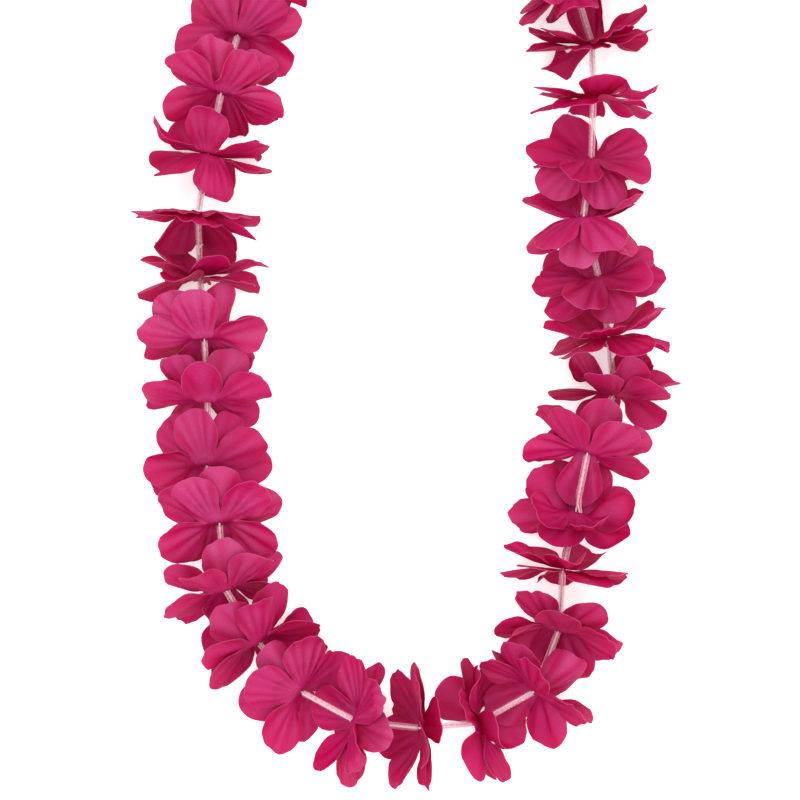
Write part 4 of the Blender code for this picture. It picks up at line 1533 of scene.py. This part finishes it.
@cache
def lei():
    """Where everything on the string lies, by the rule of the solids."""
    shown = LEFT + BOTTOM + RIGHT
    blooms = list(shown) + closing_blooms(LEFT[0], RIGHT[-1])
    centres = settle_string(blooms)
    count = len(centres)
    groups = [index if index < len(shown) else len(shown) + (index - len(shown)) // 2
              for index in range(count)]
    crowd = Crowd()
    for start, end in tube_spans(centres):
        piece = rod_shape(start, end, TUBE_RADIUS, TUBE_SIDES)
        crowd.add(None, (start + end) / 2.0, BVHTree.FromPolygons(*piece))
    for shape in knot_shapes(centres):
        crowd.add(None, knot_place(centres), BVHTree.FromPolygons(*shape))
    frames = [string_frame(centres, index) for index in range(count)]
    for index in range(count):
        along = frames[index][0] * (HUB_OFFSET + CLOTH / 2.0)
        disc = rod_shape(centres[index] - along, centres[index] + along, HUB_RADIUS, HUB_SIDES)
        crowd.add(groups[index], centres[index], BVHTree.FromPolygons(*disc))

    # The blooms that lean most take their places first
    petals = {}
    for index in sorted(range(count), key=lambda index: -abs(blooms[index].lean)):
        group = groups[index]
        own = [Petal(blooms[index], index, centres[index], frames[index], layer, place)
               for layer in range(2) for place in range(PETALS)]
        own[PETALS].pressed = index > 0 and groups[index - 1] == group
        hole_radius = HOLE_RADIUS if groups.count(group) == 1 else WIDE_HOLE_RADIUS
        place_bloom(own, group, hole_radius, crowd)
        petals[index] = own
    nodes = []
    for index in range(count):
        if groups.count(groups[index]) == 1:
            nodes.append(f"bloom_{groups[index] + 1:02d}")
        else:
            nodes.append(f"bloom_pair_{groups[index] - len(shown) + 1}")
    return Lei(centres, nodes, petals)


def tube_spans(centres):
    """Both ends of each tube, in order along the string, in the pieces of the solids."""
    shown = len(LEFT + BOTTOM + RIGHT)
    spans = [tube_ends(centres[index], centres[index + 1]) for index in range(shown - 1)]
    last = shown - 1
    run = [tube_ends(centres[last], centres[last + 1])[0]]
    run.extend(centres[last + 1:])
    run.append(tube_ends(centres[-1], centres[0], END_GAP, KNOT_GAP)[1])
    return spans + list(zip(run, run[1:]))


def knot_frame(centres):
    """The string's direction at the knot, and the level direction across it."""
    into = (centres[0] - centres[-1]).normalized()
    return into, UP.cross(into).normalized()


def knot_place(centres):
    """The knot's middle, in the gap before the first bloom."""
    into = knot_frame(centres)[0]
    return centres[0] - into * (KNOT_GAP + KNOT_SHIFT) / 2.0


def knot_tails(centres):
    """Where each of the knot's two tails starts, and which way it goes."""
    into, aside = knot_frame(centres)
    tails = []
    for sign in (-1.0, 1.0):
        root = knot_place(centres) + aside * (sign * KNOT_RADIUS * TAIL_SPREAD)
        way = (aside * sign - UP * TAIL_DROP - into * TAIL_BACK).normalized()
        tails.append((root, way))
    return tails


def knot_shapes(centres):
    """The solids' knot and its two tails."""
    into = knot_frame(centres)[0]
    shapes = [ball_shape(knot_place(centres), into, KNOT_RADIUS, KNOT_SIDES)]
    for root, way in knot_tails(centres):
        shapes.append(rod_shape(root, root + way * TAIL_LENGTH, CORD_RADIUS, CORD_SIDES))
    return shapes


# Settings

class LeiFabric(bpy.types.PropertyGroup):
    thickness: bpy.props.FloatProperty(
        name="Cloth thickness", description="Thickness of the fabric", default=0.00022,
        min=0.0001, unit="LENGTH")
    rib_depth: bpy.props.FloatProperty(
        name="Rib depth", description="Height of the pressed ribs between two creases",
        default=0.0020, min=0.0, unit="LENGTH")
    roll: bpy.props.FloatProperty(
        name="Roll", description="Most that half of a petal's width is rolled up, in degrees",
        default=70.0, min=0.0)
    lip: bpy.props.FloatProperty(
        name="Lip", description="Most that a petal's folded lip turns up, in degrees",
        default=65.0, min=0.0)
    hook: bpy.props.FloatProperty(
        name="Hook", description="Most that a petal's tip bends off", default=0.0030,
        min=0.0, unit="LENGTH")
    rim_wave: bpy.props.FloatProperty(
        name="Rim wave", description="Most that a petal's rim waves", default=0.0012,
        min=0.0, unit="LENGTH")
    scallop: bpy.props.FloatProperty(
        name="Scallop", description="Unevenness of the cut round a petal's end",
        default=0.0007, min=0.0, unit="LENGTH")
    thread_pitch: bpy.props.FloatProperty(
        name="Thread pitch", description="Distance between two threads of the weave",
        default=0.00042, min=0.0001, unit="LENGTH")
    colour: bpy.props.FloatVectorProperty(
        name="Colour", description="Colour of the fabric", subtype="COLOR", size=3,
        default=(0.625, 0.004, 0.154), min=0.0, max=1.0)
    see_through: bpy.props.FloatProperty(
        name="See-through", description="Share of the light that the cloth lets through",
        default=0.48, min=0.0, max=1.0)
    # Colour of the melted cut edge, partly a painted edge highlight, and of the painted sheen on
    # level, high cloth
    edge_and_sheen_colour: bpy.props.FloatVectorProperty(
        name="Edge colour", description="Colour of the melted cut edge", subtype="COLOR",
        size=3, default=(0.66, 0.13, 0.35), min=0.0, max=1.0)


class LeiPlastic(bpy.types.PropertyGroup):
    wall: bpy.props.FloatProperty(
        name="Wall", description="Thickness of a tube's wall", default=0.00035,
        min=0.0001, unit="LENGTH")
    # The pink tint is a painted reflection of the magenta petals in the clear plastic
    petal_reflection_tint: bpy.props.FloatVectorProperty(
        name="Tint", description="Tint of the clear plastic", subtype="COLOR", size=3,
        default=(0.82, 0.32, 0.45), min=0.0, max=1.0)
    # The streaks are painted highlights along the tube
    highlight_streak_colour: bpy.props.FloatVectorProperty(
        name="Streak colour", description="Colour of the streaks along a tube",
        subtype="COLOR", size=3, default=(1.0, 0.93, 0.95), min=0.0, max=1.0)
    haze: bpy.props.FloatProperty(
        name="Haze", description="How much the clear wall hides", default=0.16,
        min=0.0, max=1.0)
    streaks: bpy.props.FloatProperty(
        name="Streaks", description="How much a streak hides", default=0.7,
        min=0.0, max=1.0)


class LeiThread(bpy.types.PropertyGroup):
    ply_radius: bpy.props.FloatProperty(
        name="Ply radius", description="Radius of each of the two twisted plies",
        default=0.00022, min=0.0001, unit="LENGTH")
    twist: bpy.props.FloatProperty(
        name="Twist", description="Length in which the plies go round once",
        default=0.0060, min=0.001, unit="LENGTH")
    colour: bpy.props.FloatVectorProperty(
        name="Colour", description="Colour of the thread", subtype="COLOR", size=3,
        default=(0.86, 0.82, 0.82), min=0.0, max=1.0)


class LeiStage(bpy.types.PropertyGroup):
    floor_size: bpy.props.FloatProperty(
        name="Floor size", description="Side of the square floor", default=4.0, min=1.0,
        unit="LENGTH")
    floor_colour: bpy.props.FloatVectorProperty(
        name="Floor colour", description="Colour of the floor", subtype="COLOR", size=3,
        default=(0.93, 0.93, 0.93), min=0.0, max=1.0)
    floor_glow: bpy.props.FloatProperty(
        name="Floor glow", description="Light that the floor gives off, so that shadows stay pale",
        default=0.42, min=0.0)
    room_light: bpy.props.FloatProperty(
        name="Room light", description="Soft light from all round", default=1.34, min=0.0)
    view_width: bpy.props.FloatProperty(
        name="View width", description="Width of what the camera sees of the lei",
        default=0.3692, min=0.1, unit="LENGTH")
    camera_height: bpy.props.FloatProperty(
        name="Camera height", description="Height of the camera over the floor",
        default=2.0, min=0.5, unit="LENGTH")


# Operators

class LEI_OT_blooms(bpy.types.Operator):
    """Makes each bloom's two fabric layers."""
    bl_idname = "lei.blooms"
    bl_label = "Blooms"

    def execute(self, context):
        looks = context.scene.lei_fabric
        material = fabric_material(looks)
        parts = lei()
        obstacles = []
        for start, end in tube_spans(parts.centres):
            shape = rod_shape(start, end, TUBE_RADIUS + TUBE_CLEARANCE, TUBE_SIDES)
            obstacles.append(((start + end) / 2.0, BVHTree.FromPolygons(*shape)))
        for petals in parts.petals.values():
            place_fine_bloom(petals, looks, obstacles)
        for index, petals in sorted(parts.petals.items()):
            for layer, side in enumerate(("front", "back")):
                own = [petal for petal in petals if petal.layer == layer]
                (points, faces), known = fabric_layer(own, looks.thickness / MM)
                piece = new_mesh_object(f"bloom_{index + 1:02d}_{side}", points, faces, material)
                for name in ("valley", "tone", "level", "rim"):
                    store_attribute(piece.data, name, np.tile(known[name], 2))
                layer_map = piece.data.uv_layers.new(name="cloth")
                corners = np.empty(len(piece.data.loops), np.int32)
                piece.data.loops.foreach_get("vertex_index", corners)
                flat = np.tile(known["flat"] / CLOTH_SIZE + 0.5, (2, 1))
                layer_map.data.foreach_set("uv", flat[corners].astype(np.float32).ravel())
                keep(piece, "magenta_fabric", parts.nodes[index])
                cut_area() * MM * MM
        return {"FINISHED"}


def cut_area():
    """The flat area of one layer, in square millimetres."""
    angles, lengths = flat_lines()[:2]
    x, y = lengths * np.cos(angles), lengths * np.sin(angles)
    petal = 0.5 * np.sum(x[:-1] * y[1:] - x[1:] * y[:-1])
    hub = math.pi * HUB_RADIUS ** 2
    return PETALS * petal + hub * (1.0 - 2.0 * angles[-1] / math.radians(PETAL_STEP))


class LEI_OT_tubes(bpy.types.Operator):
    """Makes the clear tube spacers."""
    bl_idname = "lei.tubes"
    bl_label = "Tubes"

    def execute(self, context):
        looks = context.scene.lei_plastic
        recipe = tube_recipe(plastic_material(looks))
        centres = lei().centres
        count = len(centres)
        shown = len(LEFT + BOTTOM + RIGHT)
        for index in range(count):
            gaps = (END_GAP, KNOT_GAP) if index == count - 1 else (END_GAP, END_GAP)
            ends = metres(tube_ends(centres[index], centres[(index + 1) % count], *gaps))
            number = index + 1
            values = {"Start": ends[0], "End": ends[1], "Radius": TUBE_RADIUS * MM,
                      "Wall": looks.wall, "Crush": 0.0, "Bend": (0.0, 0.0, 0.0)}
            if number == CRUSHED_TUBE:
                values["Crush"] = CRUSH
                values["Bend"] = [step * MM for step in CRUSHED_BEND]
            piece = recipe.grown(f"spacer_{number:02d}", [([centres[index]], False)], values)
            keep(piece, "clear_plastic", f"tube_{number:02d}" if number < shown else "tube_run")
        return {"FINISHED"}


def knot_routes(centres):
    """The knot, pulled tight in three loops, and its two tails."""
    into, aside = knot_frame(centres)
    loops = []
    for step in range(KNOT_POINTS):
        turn = 2.0 * math.pi * step / KNOT_POINTS
        reach = (into * (math.sin(turn) + 2.0 * math.sin(2.0 * turn))
                 + aside * (math.cos(turn) - 2.0 * math.cos(2.0 * turn))
                 - UP * (KNOT_DEPTH * math.sin(3.0 * turn)))
        loops.append(knot_place(centres) + reach * KNOT_SCALE)
    routes = [(loops, True)]
    for root, way in knot_tails(centres):
        tail = [root + way * (TAIL_LENGTH * step / TAIL_STEPS)
                + into * (TAIL_BOW * math.sin(math.pi * step / TAIL_STEPS))
                for step in range(TAIL_STEPS + 1)]
        routes.append((tail, False))
    return routes


class LEI_OT_cord(bpy.types.Operator):
    """Makes the twisted cord and its knot."""
    bl_idname = "lei.cord"
    bl_label = "Cord"

    def execute(self, context):
        looks = context.scene.lei_thread
        recipe = cord_recipe(thread_material(looks))
        centres = lei().centres
        routes = [(centres, True)] + knot_routes(centres)
        values = {"Ply radius": looks.ply_radius, "Twist": looks.twist}
        piece = recipe.grown("twisted_cord", routes, values)
        keep(piece, "cord", "cord")
        return {"FINISHED"}


# The stage: each lamp's name, place, size and power, in metres and watts, how much of the room's
# light is left out of reflections, and the height of the lei's middle
LAMPS = (
    ("key light", (-0.35, 0.55, 1.9), 0.9, 9.0),
    ("fill light", (0.9, 0.2, 1.5), 1.4, 6.0),
    ("low light", (0.1, -0.9, 1.6), 1.2, 6.0),
)
ROOM_DIMMING = 0.8
LEI_MIDDLE = 0.02


class LEI_OT_stage(bpy.types.Operator):
    """Makes the floor, the lights and the camera."""
    bl_idname = "lei.stage"
    bl_label = "Stage"

    def execute(self, context):
        looks = context.scene.lei_stage
        scene = context.scene
        half = looks.floor_size / 2.0
        mesh = bpy.data.meshes.new("floor")
        mesh.from_pydata([(-half, -half, 0.0), (half, -half, 0.0), (half, half, 0.0),
                          (-half, half, 0.0)], [], [(0, 1, 2, 3)])
        mesh.materials.append(floor_material(looks))
        floor = bpy.data.objects.new("floor", mesh)
        scene.collection.objects.link(floor)

        world = bpy.data.worlds.new("studio")
        world.use_nodes = True
        world.node_tree.nodes.clear()
        graph = Graph(world.node_tree)
        glossy = graph.node("ShaderNodeLightPath", output="Is Glossy Ray")
        room = graph.node("ShaderNodeBackground", None, {
            "Color": (1.0, 1.0, 1.0, 1.0),
            "Strength": looks.room_light * (1.0 - glossy * ROOM_DIMMING)})
        graph.node("ShaderNodeOutputWorld", None, {"Surface": room})
        scene.world = world
        for name, place, size, power in LAMPS:
            lamp = bpy.data.lights.new(name, "AREA")
            lamp.energy = power
            lamp.size = size
            item = bpy.data.objects.new(name, lamp)
            item.location = place
            item.rotation_euler = (-Vector(place)).to_track_quat("-Z", "Y").to_euler()
            scene.collection.objects.link(item)

        lens = bpy.data.cameras.new("camera")
        lens.angle = 2.0 * math.atan(looks.view_width / 2.0 / (looks.camera_height - LEI_MIDDLE))
        camera = bpy.data.objects.new("camera", lens)
        camera.location = (-FOOTPRINT_X * MM, -FOOTPRINT_Y * MM, looks.camera_height)
        scene.collection.objects.link(camera)
        scene.camera = camera
        scene.view_settings.view_transform = "Standard"
        return {"FINISHED"}


class LEI_PT_panel(bpy.types.Panel):
    """Lists the lei's pieces and their settings."""
    bl_idname = "LEI_PT_panel"
    bl_label = "Flower lei"
    bl_space_type = "VIEW_3D"
    bl_region_type = "UI"
    bl_category = "Lei"

    def draw(self, context):
        for group, operator in PANEL_ROWS:
            settings = getattr(context.scene, group)
            box = self.layout.box()
            box.operator(operator)
            for name in settings.__annotations__:
                box.prop(settings, name)


PANEL_ROWS = (
    ("lei_fabric", "lei.blooms"),
    ("lei_plastic", "lei.tubes"),
    ("lei_thread", "lei.cord"),
    ("lei_stage", "lei.stage"),
)
SETTINGS = {
    "lei_fabric": LeiFabric,
    "lei_plastic": LeiPlastic,
    "lei_thread": LeiThread,
    "lei_stage": LeiStage,
}
CLASSES = (*SETTINGS.values(), LEI_OT_blooms, LEI_OT_tubes, LEI_OT_cord, LEI_OT_stage, LEI_PT_panel)


def register():
    for made in CLASSES:
        bpy.utils.register_class(made)
    for name, group in SETTINGS.items():
        setattr(bpy.types.Scene, name, bpy.props.PointerProperty(type=group))


def unregister():
    for name in SETTINGS:
        delattr(bpy.types.Scene, name)
    for made in reversed(CLASSES):
        bpy.utils.unregister_class(made)


def main():
    register()
    bpy.ops.lei.stage()
    bpy.ops.lei.blooms()
    bpy.ops.lei.tubes()
    bpy.ops.lei.cord()


if __name__ == "__main__":
    main()
